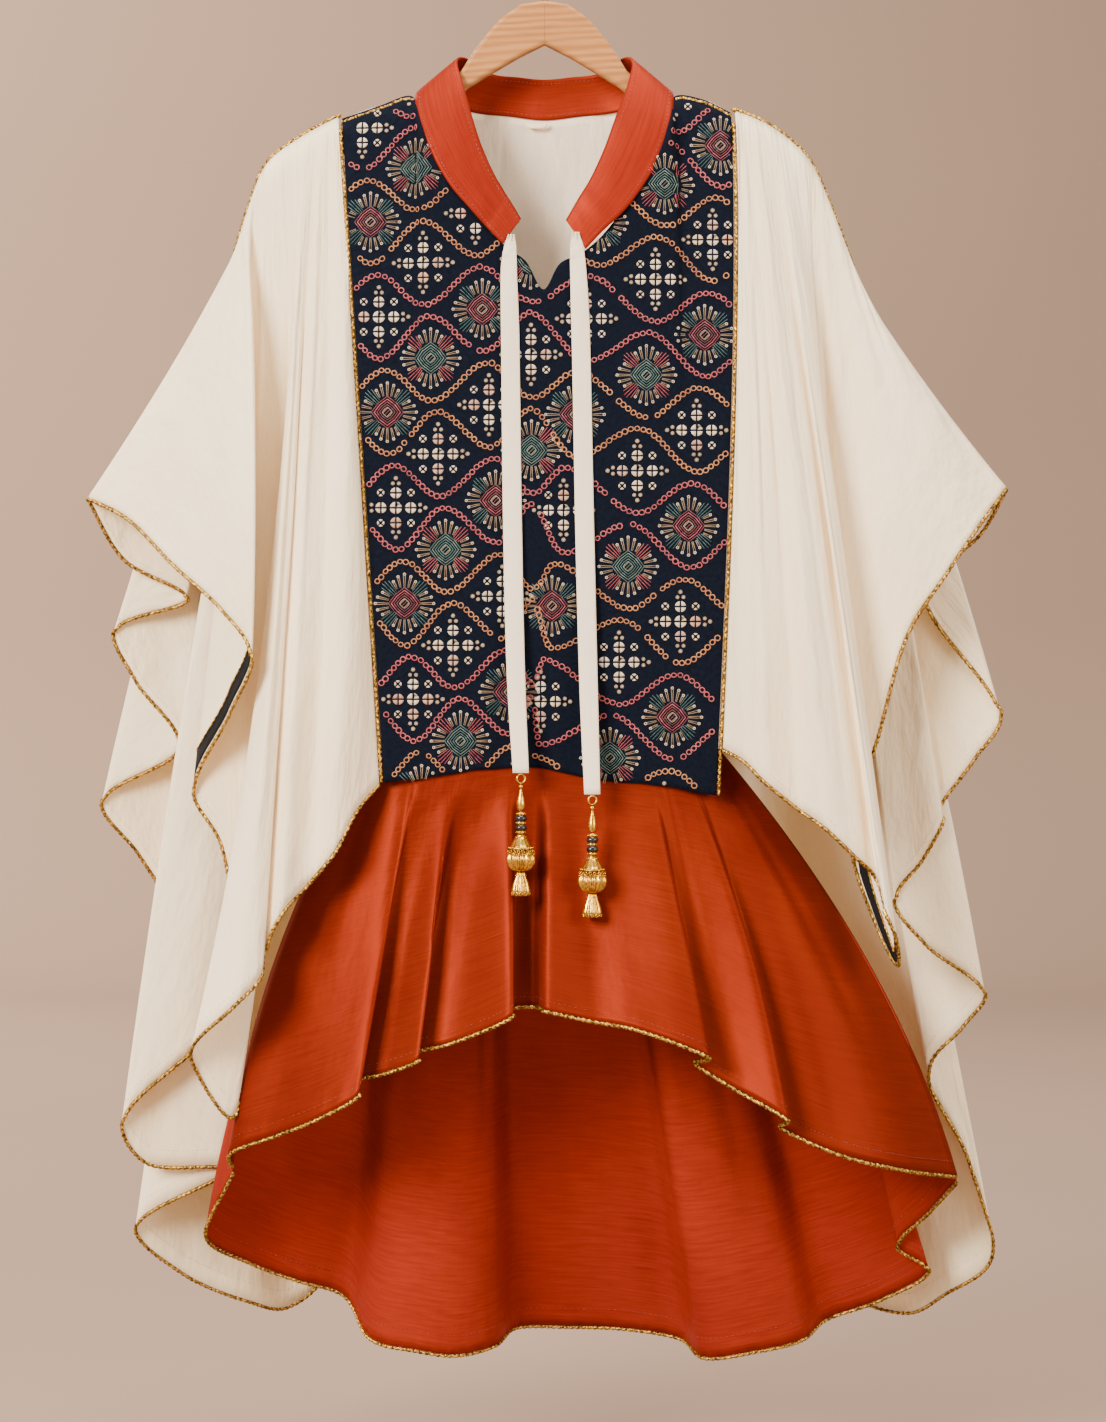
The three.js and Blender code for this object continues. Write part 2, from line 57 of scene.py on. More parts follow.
def seen(x, y, z):
    """A point given by its outline from the front and its depth."""
    spread = (VIEW_DISTANCE + y) / VIEW_DISTANCE
    return Vector((VIEW_X + (x - VIEW_X) * spread, y, VIEW_Z + (z - VIEW_Z) * spread))


def smooth(points, u):
    """A centripetal curve through points, u from 0 at the first to 1 at the last."""
    last = len(points) - 1
    place = min(max(u, 0.0), 1.0) * last
    i = min(int(place), last - 1)
    w = place - i
    p1, p2 = points[i], points[i + 1]
    p0 = points[i - 1] if i > 0 else p1 * 2 - p2
    p3 = points[i + 2] if i + 2 <= last else p2 * 2 - p1
    d0 = max((p0 - p1).length_squared ** 0.25, 1e-4)
    d1 = max((p1 - p2).length_squared ** 0.25, 1e-4)
    d2 = max((p2 - p3).length_squared ** 0.25, 1e-4)
    t1 = ((p1 - p0) / d0 - (p2 - p0) / (d0 + d1) + (p2 - p1) / d1) * d1
    t2 = ((p2 - p1) / d1 - (p3 - p1) / (d1 + d2) + (p3 - p2) / d2) * d1
    a = p1 * 2 - p2 * 2 + t1 + t2
    b = p1 * -3 + p2 * 3 - t1 * 2 - t2
    return a * w ** 3 + b * w ** 2 + t1 * w + p1


# Camera, floor and wall, in metres from here on
CAMERA_REACH = 60
FLOOR_Z = -1.32
FLOOR_NEAR = -9
WALL_Y = 6.2
WALL_HEIGHT = 7
WALL_HALF = 15
BEND = 0.9
# How far along the paper's length the bend starts and ends
BEND_START = 0.4
BEND_END = 0.6


def camera():
    data = bpy.data.cameras.new("camera")
    data.sensor_width = SENSOR
    data.lens = SENSOR * VIEW_DISTANCE / FRAME_HEIGHT
    data.clip_end = CAMERA_REACH
    eye = bpy.data.objects.new("camera", data)
    eye.location = (VIEW_X * MM, -VIEW_DISTANCE * MM, VIEW_Z * MM)
    eye.rotation_euler = (math.radians(90), 0, 0)
    bpy.context.collection.objects.link(eye)
    bpy.context.scene.camera = eye


def backdrop():
    """A strip of studio paper: the floor, a round bend and the wall."""
    mesh = bmesh.new()
    bmesh.ops.create_grid(mesh, x_segments=1, y_segments=40, size=1)
    for v in mesh.verts:
        run = (v.co.y + 1) / 2
        if run < BEND_START:
            y = FLOOR_NEAR + (WALL_Y - BEND - FLOOR_NEAR) * run / BEND_START
            z = FLOOR_Z
        elif run < BEND_END:
            turn = (run - BEND_START) / (BEND_END - BEND_START) * math.pi / 2
            y = WALL_Y - BEND + BEND * math.sin(turn)
            z = FLOOR_Z + BEND * (1 - math.cos(turn))
        else:
            y = WALL_Y
            z = FLOOR_Z + BEND + (run - BEND_END) / (1 - BEND_END) * WALL_HEIGHT
        v.co = (v.co.x * WALL_HALF, y, z)
    piece = finish_mesh("backdrop", mesh, backdrop_paint())


# Lamps: name, place, aim, width and height, watts, tint
LAMPS = [
    ("key", (-2.6, -3.2, 1.0), (0, 0, -0.6), (1.8, 1.8), 500, (1, 0.95, 0.88)),
    ("fill", (3.2, -2.6, 0.15), (0, 0, -0.7), (2.4, 1.9), 145, (1, 0.93, 0.86)),
    ("top", (0.2, -0.4, 1.9), (0, 0, -0.6), (1.6, 1.2), 90, (1, 0.96, 0.92)),
    ("wall_wash", (-4.0, 3.4, 2.2), (-0.7, WALL_Y, -0.7), (2.4, 2.4), 590, (1, 0.94, 0.88)),
    ("back", (2.2, 3.6, 1.8), (0, 0, -0.7), (2.0, 2.0), 60, (1, 0.95, 0.9)),
]
ROOM_TINT = (0.92, 0.86, 0.8, 1)
ROOM_LIGHT = 0.75


def lamp(name, place, aim, size, power, tint):
    data = bpy.data.lights.new(name, "AREA")
    data.shape = "RECTANGLE"
    data.size, data.size_y = size
    data.energy = power
    data.color = tint
    light = bpy.data.objects.new(name, data)
    light.location = place
    way = Vector(aim) - Vector(place)
    light.rotation_euler = way.to_track_quat("-Z", "Y").to_euler()
    bpy.context.collection.objects.link(light)


def lights():
    for row in LAMPS:
        lamp(*row)
    world = bpy.data.worlds.new("studio")
    bpy.context.scene.world = world
    world.use_nodes = True
    room = world.node_tree.nodes["Background"]
    room.inputs["Color"].default_value = ROOM_TINT
    room.inputs["Strength"].default_value = ROOM_LIGHT


# Mesh helpers
def finish_mesh(name, mesh, material, body=None, replaces=(), flat_faces=False):
    data = bpy.data.meshes.new(name)
    mesh.to_mesh(data)
    mesh.free()
    for face in data.polygons:
        face.use_smooth = not flat_faces
    piece = bpy.data.objects.new(name, data)
    bpy.context.collection.objects.link(piece)
    data.materials.append(material)
    if body:
        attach(piece, body)
    if replaces:
        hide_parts(*replaces)
    return piece


def surface_mesh(surface, columns, steps, size):
    """A grid laid on surface(u, t), with its UV map in metres of cloth."""
    mesh = bmesh.new()
    mesh.loops.layers.uv.new("UVMap")
    bmesh.ops.create_grid(mesh, x_segments=columns, y_segments=steps, size=0.5, calc_uvs=True)
    layer = mesh.loops.layers.uv.active
    for face in mesh.faces:
        for loop in face.loops:
            u, t = loop.vert.co.x + 0.5, 0.5 - loop.vert.co.y
            loop[layer].uv = (u * size[0], (1 - t) * size[1])
    places = {v: surface(v.co.x + 0.5, 0.5 - v.co.y) for v in mesh.verts}
    for v, place in places.items():
        v.co = place * MM
    bmesh.ops.recalc_face_normals(mesh, faces=mesh.faces)
    return mesh


def thicken(piece, wall):
    """Gives a cloth surface its thickness, half to each side."""
    solid = piece.modifiers.new("wall", "SOLIDIFY")
    solid.thickness = wall
    solid.offset = 0
    solid.use_even_offset = False


# Materials
class Paint:
    """A material's nodes, added one by one."""

    def __init__(self, name, roughness=0.6, metallic=0.0, **sockets):
        self.material = bpy.data.materials.new(name)
        self.material.use_nodes = True
        self.tree = self.material.node_tree
        self.shader = self.tree.nodes["Principled BSDF"]
        self.shader.inputs["Roughness"].default_value = roughness
        self.shader.inputs["Metallic"].default_value = metallic
        for socket, value in sockets.items():
            self.shader.inputs[socket.replace("_", " ")].default_value = value
        self.coords = self.tree.nodes.new("ShaderNodeTexCoord")
        self.height = None

    def node(self, kind, links=None, **values):
        made = self.tree.nodes.new(kind)
        for key, value in values.items():
            if key in made.inputs:
                made.inputs[key].default_value = value
            else:
                setattr(made, key, value)
        for socket, source in (links or {}).items():
            self.tree.links.new(source, made.inputs[socket])
        return made

    def space(self, which="Object", scale=(1, 1, 1), turn=(0, 0, 0)):
        made = self.node("ShaderNodeMapping", {"Vector": self.coords.outputs[which]})
        made.inputs["Scale"].default_value = scale
        made.inputs["Rotation"].default_value = turn
        return made.outputs["Vector"]

    def noise(self, vector, scale, detail=3.0, rough=0.5):
        made = self.node("ShaderNodeTexNoise", {"Vector": vector}, Scale=scale, Detail=detail)
        made.inputs["Roughness"].default_value = rough
        return made.outputs["Fac"]

    def wave(self, vector, scale, distortion=0.0, direction="X", detail=1.0):
        made = self.node("ShaderNodeTexWave", {"Vector": vector}, Scale=scale, Distortion=distortion)
        made.bands_direction = direction
        made.inputs["Detail"].default_value = detail
        return made.outputs["Fac"]

    def ramp(self, fac, *stops):
        made = self.node("ShaderNodeValToRGB", {"Fac": fac})
        stop = made.color_ramp.elements
        while len(stop) < len(stops):
            stop.new(0.5)
        for element, (at, color) in zip(stop, stops):
            element.position = at
            element.color = (*color, 1)
        return made.outputs["Color"]

    def mix(self, fac, a, b, way="MIX"):
        made = self.tree.nodes.new("ShaderNodeMix")
        made.data_type = "RGBA"
        made.blend_type = way
        for socket, value in (("Factor", fac), ("A", a), ("B", b)):
            index = {"Factor": 0, "A": 6, "B": 7}[socket]
            if isinstance(value, bpy.types.NodeSocket):
                self.tree.links.new(value, made.inputs[index])
            elif isinstance(value, (int, float)):
                made.inputs[index].default_value = value
            else:
                made.inputs[index].default_value = (*value, 1)
        return made.outputs[2]

    def maths(self, how, a, b):
        made = self.node("ShaderNodeMath", operation=how)
        for index, value in enumerate((a, b)):
            if isinstance(value, bpy.types.NodeSocket):
                self.tree.links.new(value, made.inputs[index])
            else:
                made.inputs[index].default_value = value
        return made.outputs[0]

    def color(self, socket):
        self.tree.links.new(socket, self.shader.inputs["Base Color"])

    def bump(self, height, strength, distance):
        made = self.node("ShaderNodeBump", {"Height": height}, Strength=strength, Distance=distance)
        if self.height is not None:
            self.tree.links.new(self.height, made.inputs["Normal"])
        self.height = made.outputs["Normal"]
        self.tree.links.new(self.height, self.shader.inputs["Normal"])

    def rough(self, fac, low, high):
        made = self.node("ShaderNodeMapRange", {"Value": fac})
        made.inputs["To Min"].default_value = low
        made.inputs["To Max"].default_value = high
        self.tree.links.new(made.outputs["Result"], self.shader.inputs["Roughness"])


# Cloth finishes
def woven(paint, threads, strength, distance):
    """Crossed threads in the cloth's own directions, threads to a metre. Gives their grain."""
    across = paint.wave(paint.space("UV", (threads, 1, 1)), 1.0, 0.6, "X")
    along = paint.wave(paint.space("UV", (1, threads, 1)), 1.0, 0.6, "Y")
    cloth = paint.maths("ADD", across, along)
    grain = paint.noise(paint.space("UV", (threads / 3, threads / 3, 1)), 1.0, 4.0, 0.6)
    paint.bump(paint.maths("ADD", cloth, grain), strength, distance)
    return grain


# Paint colours are linear red, green and blue, the dark one first. Distances are in metres
def cream_paint(name="cream_cloth", low=(0.9, 0.7, 0.46), high=(0.97, 0.79, 0.55)):
    paint = Paint(name, 0.8, Sheen_Weight=0.15, Sheen_Roughness=0.4, Subsurface_Weight=0.35,
                  Subsurface_Scale=0.003)
    paint.shader.inputs["Subsurface Radius"].default_value = (1, 0.85, 0.65)
    paint.shader.inputs["Specular IOR Level"].default_value = 0.2
    slow = paint.noise(paint.space("UV", (3, 1.2, 1)), 2.2, 3.0)
    grain = woven(paint, 900, 0.16, 0.0002)
    base = paint.ramp(slow, (0.3, low), (0.7, high))
    fine = paint.ramp(grain, (0.35, (0.93, 0.93, 0.93)), (0.65, (1, 1, 1)))
    paint.color(paint.mix(0.6, base, fine, "MULTIPLY"))
    slub = paint.noise(paint.space("UV", (30, 260, 1)), 1.0, 3.0, 0.6)
    paint.bump(slub, 0.12, 0.0005)
    slack = paint.noise(paint.space("UV", (13, 4, 1), (0, 0, 0.25)), 1.4, 4.0, 0.55)
    paint.bump(slack, 0.75, 0.01)
    return paint.material


def orange_paint(name="orange_silk", deep=(0.13, 0.0088, 0.0034), lit=(0.185, 0.0175, 0.0052)):
    paint = Paint(name, 0.45, 0.3, Sheen_Weight=0.05, Sheen_Roughness=0.4)
    paint.shader.inputs["Sheen Tint"].default_value = (1, 0.12, 0.02, 1)
    paint.shader.inputs["Specular Tint"].default_value = (1, 0.34, 0.1, 1)
    paint.shader.inputs["Specular IOR Level"].default_value = 0.1
    slub = paint.noise(paint.space("UV", (22, 420, 1), (0, 0, 0.5)), 1.0, 4.0, 0.65)
    thread = paint.noise(paint.space("UV", (700, 40, 1), (0, 0, 0.5)), 1.0, 3.0, 0.6)
    broad = paint.noise(paint.space("UV", (5, 3, 1)), 1.0, 3.0)
    base = paint.ramp(broad, (0.3, deep), (0.7, lit))
    tone = paint.ramp(slub, (0.3, (0.82, 0.72, 0.68)), (0.72, (1.12, 1.15, 1.12)))
    paint.color(paint.mix(1.0, base, tone, "MULTIPLY"))
    paint.bump(slub, 0.12, 0.0005)
    paint.bump(thread, 0.1, 0.0003)
    paint.bump(paint.noise(paint.space("UV", (9, 4, 1), (0, 0, 0.3)), 1.5, 4.0, 0.5), 0.35, 0.007)
    paint.rough(slub, 0.36, 0.58)
    return paint.material


def navy_paint():
    paint = Paint("navy_cloth", 0.9)
    paint.shader.inputs["Specular IOR Level"].default_value = 0.08
    grain = woven(paint, 820, 0.35, 0.0003)
    paint.color(paint.ramp(grain, (0.3, (0.001, 0.0018, 0.005)), (0.7, (0.003, 0.0052, 0.0125))))
    paint.bump(paint.noise(paint.space("UV", (8, 3, 1)), 1.5, 3.0), 0.25, 0.004)
    return paint.material


def thread_paint(name, dark, light):
    paint = Paint(name, 0.6, Sheen_Weight=0.3, Sheen_Roughness=0.4)
    strands = paint.wave(paint.space("Object", (1, 1, 1), (0.4, 0.3, 0.7)), 900.0, 1.5, "X")
    spread = paint.noise(paint.space("Object"), 60.0, 3.0)
    paint.color(paint.mix(0.4, paint.ramp(spread, (0.35, dark), (0.65, light)),
                          paint.ramp(strands, (0.2, dark), (0.8, light))))
    paint.bump(strands, 0.4, 0.0003)
    return paint.material


def gold_paint():
    paint = Paint("gold_braid", 0.36, 0.85)
    strands = paint.wave(paint.space("Object", (1, 1, 1), (0.5, 0.2, 0.8)), 260.0, 3.0, "X")
    # Painted glints and painted shade: this noise puts bright gold spots and near-black gaps between
    # the strands into the braid's colour.
    painted_glints_and_shade = paint.noise(paint.space("Object"), 430.0, 3.0, 0.75)
    paint.color(paint.ramp(painted_glints_and_shade, (0.38, (0.025, 0.01, 0.002)), (0.5, (0.32, 0.16, 0.022)),
                           (0.64, (0.9, 0.55, 0.12))))
    paint.bump(strands, 0.5, 0.0004)
    paint.rough(painted_glints_and_shade, 0.3, 0.55)
    return paint.material


def brass_paint():
    paint = Paint("antique_brass", 0.36, 0.95)
    patina = paint.noise(paint.space("Object"), 520.0, 3.0, 0.6)
    paint.color(paint.ramp(patina, (0.3, (0.2, 0.085, 0.008)), (0.48, (0.6, 0.31, 0.03)),
                           (0.7, (0.88, 0.52, 0.07))))
    paint.bump(paint.noise(paint.space("Object"), 900.0, 2.0), 0.15, 0.0002)
    paint.rough(patina, 0.36, 0.2)
    return paint.material


def bead_paint():
    paint = Paint("black_bead", 0.18, 0.0, Coat_Weight=0.2, Coat_Roughness=0.1)
    spread = paint.noise(paint.space("Object"), 160.0, 2.0)
    paint.color(paint.ramp(spread, (0.35, (0.006, 0.005, 0.005)), (0.7, (0.03, 0.02, 0.018))))
    return paint.material


def wood_paint():
    paint = Paint("beech_wood", 0.45)
    paint.shader.inputs["Specular IOR Level"].default_value = 0.2
    lines = paint.wave(paint.space("Object", (0.25, 1, 1.6), (0, 0.45, 0)), 34.0, 5.0, "Z", 2.0)
    pores = paint.noise(paint.space("Object", (30, 400, 400), (0, 0.5, 0)), 1.0, 3.0)
    base = paint.ramp(lines, (0.1, (0.34, 0.135, 0.036)), (0.5, (0.38, 0.16, 0.045)),
                      (0.9, (0.42, 0.185, 0.056)))
    flecks = paint.ramp(pores, (0.35, (0.8, 0.74, 0.7)), (0.6, (1, 1, 1)))
    paint.color(paint.mix(0.55, base, flecks, "MULTIPLY"))
    paint.bump(pores, 0.12, 0.0003)
    paint.rough(lines, 0.36, 0.5)
    return paint.material


def steel_paint():
    paint = Paint("polished_steel", 0.24, 1.0)
    brushed = paint.noise(paint.space("Object", (1, 1, 0.15)), 700.0, 3.0)
    paint.color(paint.ramp(brushed, (0.3, (0.42, 0.41, 0.4)), (0.7, (0.62, 0.61, 0.6))))
    paint.rough(brushed, 0.18, 0.34)
    return paint.material


def backdrop_paint():
    paint = Paint("studio_paper", 0.9)
    cloud = paint.noise(paint.space("Object"), 0.8, 2.0)
    paint.color(paint.ramp(cloud, (0.3, (0.29, 0.192, 0.132)), (0.7, (0.31, 0.206, 0.142))))
    return paint.material


# Fold tables, in millimetres. Wings: s along the shoulder seam, then the hem point x, y, z
# as seen, then the bow sideways. The line at s 0 is the seam beside the bodice.
SHOULDER_LEFT = [(-171, -157), (-189, -166), (-208, -177), (-233, -197), (-247, -230), (-260, -272)]
SHOULDER_RIGHT = [(157, -152), (176, -159), (196, -170), (221, -193), (240, -233), (265, -302)]
WING_FRONT_LEFT = [
    (0,), (0.03, -158, -48, -738, 8), (0.07, -178, -58, -775, 6), (0.12, -198, -50, -799, 6),
    (0.17, -222, -64, -826, 4), (0.22, -235, -56, -855, 2), (0.27, -239, -66, -878, 2),
    (0.34, -262, -72, -903, 10), (0.42, -296, -46, -938, 24), (0.46, -290, -30, -960, 28),
    (0.50, -262, -16, -996, 26), (0.58, -258, -14, -860, 12), (0.66, -270, -12, -768, 6),
    (0.73, -294, -12, -722, 2), (0.80, -264, -52, -655, 4), (0.86, -246, -76, -606, 6),
    (0.90, -270, -64, -570, 0), (0.94, -310, -38, -533, 0), (0.975, -350, -16, -493, 0),
    (1.00, -383, -1.7, -476, 4),
]
WING_BACK_LEFT = [
    (1.00, -383, 1.7, -476, 4), (0.97, -352, 18, -528, 0), (0.94, -300, 24, -560, 4),
    (0.91, -360, 32, -586, -2), (0.87, -342, 40, -630, 0), (0.83, -306, 46, -684, 4),
    (0.79, -371, 56, -730, -6), (0.74, -340, 68, -775, -2), (0.69, -296, 72, -842, 4),
    (0.63, -256, 56, -905, 8), (0.57, -298, 34, -942, 0), (0.51, -354, 34, -998, -6),
    (0.46, -334, 50, -1034, 0), (0.40, -268, 58, -1040, 6), (0.33, -343, 76, -1087, -4),
    (0.24, -305, 106, -1126, 0), (0.16, -250, 140, -1150, 4), (0.10, -215, 176, -1155, 4),
    (0.05, -180, 182, -1120, 6), (0,),
]
WING_FRONT_RIGHT = [
    (0,), (0.04, 168, -50, -697, 5), (0.08, 186, -58, -715, 3), (0.13, 212, -50, -736, 2),
    (0.19, 236, -66, -753, 0), (0.25, 262, -58, -778, 0), (0.31, 278, -48, -794, 0),
    (0.36, 287, -62, -824, -2), (0.42, 295, -54, -846, -2), (0.49, 296, -30, -868, -4),
    (0.57, 280, -14, -836, -6), (0.65, 258, -12, -760, -8), (0.73, 280, -18, -672, -2),
    (0.81, 304, -26, -590, 0), (0.88, 336, -30, -540, 0), (0.94, 362, -24, -502, 0),
    (1.00, 387, -1.7, -468, -4),
]
WING_BACK_RIGHT = [
    (1.00, 387, 1.7, -468, -4), (0.97, 366, 18, -505, 0), (0.94, 320, 24, -555, -4),
    (0.90, 382, 32, -658, 6), (0.86, 360, 38, -695, 2), (0.82, 330, 44, -738, -4),
    (0.77, 334, 34, -745, 6), (0.72, 316, 38, -780, 2), (0.67, 294, 40, -812, -4),
    (0.61, 322, 44, -852, 0), (0.54, 369, 52, -891, 8), (0.48, 350, 62, -920, 2),
    (0.42, 322, 72, -955, -4), (0.35, 356, 84, -1030, 4), (0.28, 374, 96, -1115, 6),
    (0.20, 336, 122, -1144, 2), (0.13, 302, 150, -1160, 0), (0.06, 240, 176, -1130, -4), (0,),
]
# The skirt: top x, then the hem point x, y, z as seen, then the bow sideways
SKIRT_FRONT = [
    (-146, -262, 14, -1038, -20), (-140, -264, -12, -1026, -18), (-130, -228, -36, -1012, -10),
    (-118, -190, -62, -997, -4), (-106, -156, -74, -977, 0), (-98, -166, -50, -966, 0),
    (-88, -138, -52, -960, 0), (-74, -106, -76, -948, 0), (-62, -114, -52, -942, 0),
    (-48, -80, -58, -934, 0), (-30, -27, -86, -911, 0), (-18, -36, -56, -905, 0),
    (-8, -8, -50, -903, 0), (2, 2, -84, -907, 0), (26, 38, -74, -915, 0), (52, 76, -84, -922, 0),
    (78, 138, -94, -946, 4), (88, 126, -66, -950, 4), (98, 160, -68, -972, 6),
    (110, 204, -84, -998, 10), (118, 198, -58, -1004, 10), (126, 250, -60, -1028, 16),
    (136, 300, -36, -1040, 20), (146, 346, 14, -1046, 26),
]
SKIRT_BACK = [
    (-146, -262, 16, -1042, -20), (-143, -284, 50, -1096, -18), (-134, -248, 92, -1118, -12),
    (-122, -208, 112, -1133, -8), (-110, -168, 124, -1146, -4), (-98, -146, 98, -1182, -2),
    (-84, -108, 84, -1192, 0), (-66, -74, 88, -1196, 0), (-50, -42, 108, -1188, 0),
    (-34, -24, 142, -1173, 0), (-8, 20, 150, -1172, 0), (22, 70, 146, -1174, 0),
    (44, 114, 134, -1182, 0), (58, 134, 96, -1198, 0), (76, 176, 88, -1193, 2),
    (90, 216, 106, -1183, 4), (102, 236, 132, -1166, 8), (114, 280, 116, -1150, 12),
    (126, 322, 84, -1124, 18), (134, 296, 76, -1104, 20), (140, 322, 46, -1076, 24),
    (146, 346, 16, -1050, 26),
]
# The bodice: top x, z, then the hem x, z, and how far the top stands out
PANEL = [
    (-170, -159, -135, -716, 0.05), (-138, -148, -118, -714, 0.06), (-112, -140, -105, -713, 0.10),
    (-105, -157, -101, -712, 0.50), (-96, -186, -92, -711, 0.80), (-80, -214, -78, -709, 0.95),
    (-60, -236, -60, -706, 1), (-46, -253, -46, -705, 1), (-30, -268, -31, -704, 1),
    (-16, -278, -18, -703, 1), (-1, -302, -3, -704, 1), (13, -280, 12, -707, 1),
    (30, -272, 30, -711, 1), (46, -259, 46, -714, 1), (64, -237, 64, -716, 1),
    (84, -209, 82, -717, 0.95), (98, -181, 98, -719, 0.80), (105, -156, 108, -720, 0.50),
    (110, -140, 116, -722, 0.10), (133, -143, 130, -725, 0.06), (156, -154, 144, -727, 0.05),
]
BACK_BODICE = [
    (-170, -159, -142, -700, 0.05), (-138, -148, -122, -700, 0.06), (-108, -142, -100, -700, 0.20),
    (-64, -154, -64, -700, 0.98), (-36, -157, -36, -700, 1), (0, -161, 0, -700, 1),
    (36, -157, 36, -700, 1), (64, -154, 64, -700, 0.98), (104, -142, 100, -700, 0.20),
    (133, -143, 122, -700, 0.06), (156, -154, 142, -700, 0.05),
]
# The collar's halves: the seam edge x, z, the free edge x, z, and the depth
COLLAR_LEFT = [
    (-34, -262, -20, -243, -32), (-46, -249, -30, -226, -32), (-60, -233, -41, -208, -32),
    (-78, -211, -52, -184, -30), (-93, -184, -60, -160, -26), (-104, -155, -68, -131, -17),
    (-107, -137, -73, -109, -3), (-98, -138, -66, -108, 12), (-62, -153, -45, -121, 28),
    (-28, -157, -22, -124, 32), (0, -160, 0, -126, 32),
]
COLLAR_RIGHT = [
    (33, -266, 18, -244, -32), (46, -252, 26, -230, -32), (66, -232, 38, -210, -32),
    (86, -203, 50, -184, -30), (98, -177, 60, -156, -26), (104, -153, 69, -132, -17),
    (107, -137, 73, -109, -3), (98, -138, 66, -108, 12), (62, -153, 45, -121, 28),
    (28, -157, 22, -124, 32),
]
# The ties: x, z, width, depth
TIE_LEFT = [
    (-28, -256, 5, -36.2), (-29, -266, 10, -36), (-30, -282, 13, -35.2), (-29, -340, 15, -35.1),
    (-27, -500, 15.5, -36), (-24, -630, 15, -43), (-20, -708, 13, -55),
]
TIE_RIGHT = [
    (26, -254, 5, -36.2), (27, -266, 11, -36), (28, -282, 13, -35.2), (30, -330, 15, -35.1),
    (34, -520, 15.5, -36), (37, -640, 15, -44), (40, -726, 13, -58),
]
# The pendants: radius and distance below the tie's end
DROP = [
    (0, 9.2), (1.8, 10), (2, 11.4), (1, 13), (1.6, 16), (3, 21), (3.6, 26), (2.8, 30), (0, 31.5),
]
MELON = [
    (0, 63.5), (7, 64.2), (10.6, 67), (12, 71), (10.8, 76), (7, 80), (0, 81),
]
BELL = [
    (0, 81.3), (3.8, 81.5), (3.8, 83), (4.2, 85), (6.4, 90), (8, 96.5), (8, 101), (7.2, 101),
    (7.2, 96.5), (5.4, 90), (0, 87),
]
# The hanger's outline, middle to left end and back
WOOD_UPPER = [
    (0, -60), (-20, -63), (-36, -74), (-47, -86), (-60, -103), (-70, -119), (-84, -130), (-106, -142),
    (-136, -152), (-170, -166), (-200, -181), (-224, -200),
]
WOOD_LOWER = [
    (-226, -209), (-216, -214), (-196, -202), (-166, -188), (-132, -176), (-104, -166), (-84, -151),
    (-64, -133), (-46, -122), (-22, -108), (0, -97),
]
# How far the capes start beside the bodice's seam, stand off the hanger's arm, and off each other
SIDE_SEAM = 4.2
ARM_WRAP = 8.5
SLEEVE_GAP = 1.7
# The drop over which cloth bends away from the arm, and the part of the sleeve that closes to its tip
WRAP_DROP = 5
SLEEVE_TIP = 0.25
# The skirt's top edge, then how its body flares and its folds open from top to hem
SKIRT_TOP_Z = -688
SKIRT_TOP_DEPTH = 29
SKIRT_TOP_HALF = 146
SKIRT_FLARE = 2.4
SKIRT_FOLD = 0.9
SKIRT_FOLD_START = 0.15
SKIRT_MEAN_DEPTH = 66
SKIRT_SQUARENESS = 6
SKIRT_SEAM_GAP = 0.9
VALLEY_DEPTH = 1.3
PANEL_DEPTH = 32
RIGHT_BULGE = 6
# The right front cape leaves the panel above the panel's hem
RIGHT_SEAM_REACH = 0.93
# The collar: the bow and lean of its band, and how its front runs on under the panel's edge
COLLAR_BOW = 2
COLLAR_LEAN = 3
COLLAR_FRONT = -10
COLLAR_LAP = 0.09
COLLAR_PRESS = 1.9


def shoulder_point(seam, s):
    """A point on a shoulder line, s from 0 at the neck side to 1 at the sleeve's tip."""
    return smooth([Vector((x, 0, z)) for x, z in seam], s)


def bow_out(t):
    """From 0 at both ends of a line to 1 halfway."""
    return 4 * t * (1 - t)


def settled(drop):
    """From 0 at an edge to 1 once the cloth hangs free below it."""
    return 1 - math.exp(-drop / WRAP_DROP)


def bodice_line(face, row, t):
    """A line down the bodice, t from 0 at the top to 1 at the hem. Face is -1 in front, 1 behind."""
    top_x, top_z, hem_x, hem_z, out = row
    bulge = RIGHT_BULGE * math.sin(math.pi * t ** 0.7) if top_x > 100 and t > 0 else 0
    x = top_x + (hem_x - top_x) * t + bulge
    z = top_z + (hem_z - top_z) * t
    start = PANEL_DEPTH * out
    wrap = min(PANEL_DEPTH, 2 + start + (ARM_WRAP + 2) * settled(abs(z - top_z)))
    y = wrap + (PANEL_DEPTH - wrap) * (1 - (1 - t) ** 4)
    return seen(x, face * max(y, start), z)


def wing_line(seam, face, row, t):
    """A fold line down a cape, from the shoulder seam to the hem."""
    side = math.copysign(1, seam[0][0])
    bodice = PANEL if face < 0 else BACK_BODICE
    if row[0] == 0:
        reach = RIGHT_SEAM_REACH if side > 0 and face < 0 else 1
        beside = bodice_line(face, bodice[0] if side < 0 else bodice[-1], t * reach)
        beside.x += side * SIDE_SEAM
        return beside
    s, x, y, z, bow = row
    top, hem = shoulder_point(seam, s), seen(x, y, z)
    drop = (hem - top).length * t
    room = ARM_WRAP * min(1, (1 - s) / SLEEVE_TIP)
    wrap = face * (SLEEVE_GAP + room * settled(drop))
    point = top.lerp(hem, t)
    point.x += bow * bow_out(t)
    point.y = wrap + (hem.y - face * (SLEEVE_GAP + room)) * (1 - (1 - t) ** 2)
    return point


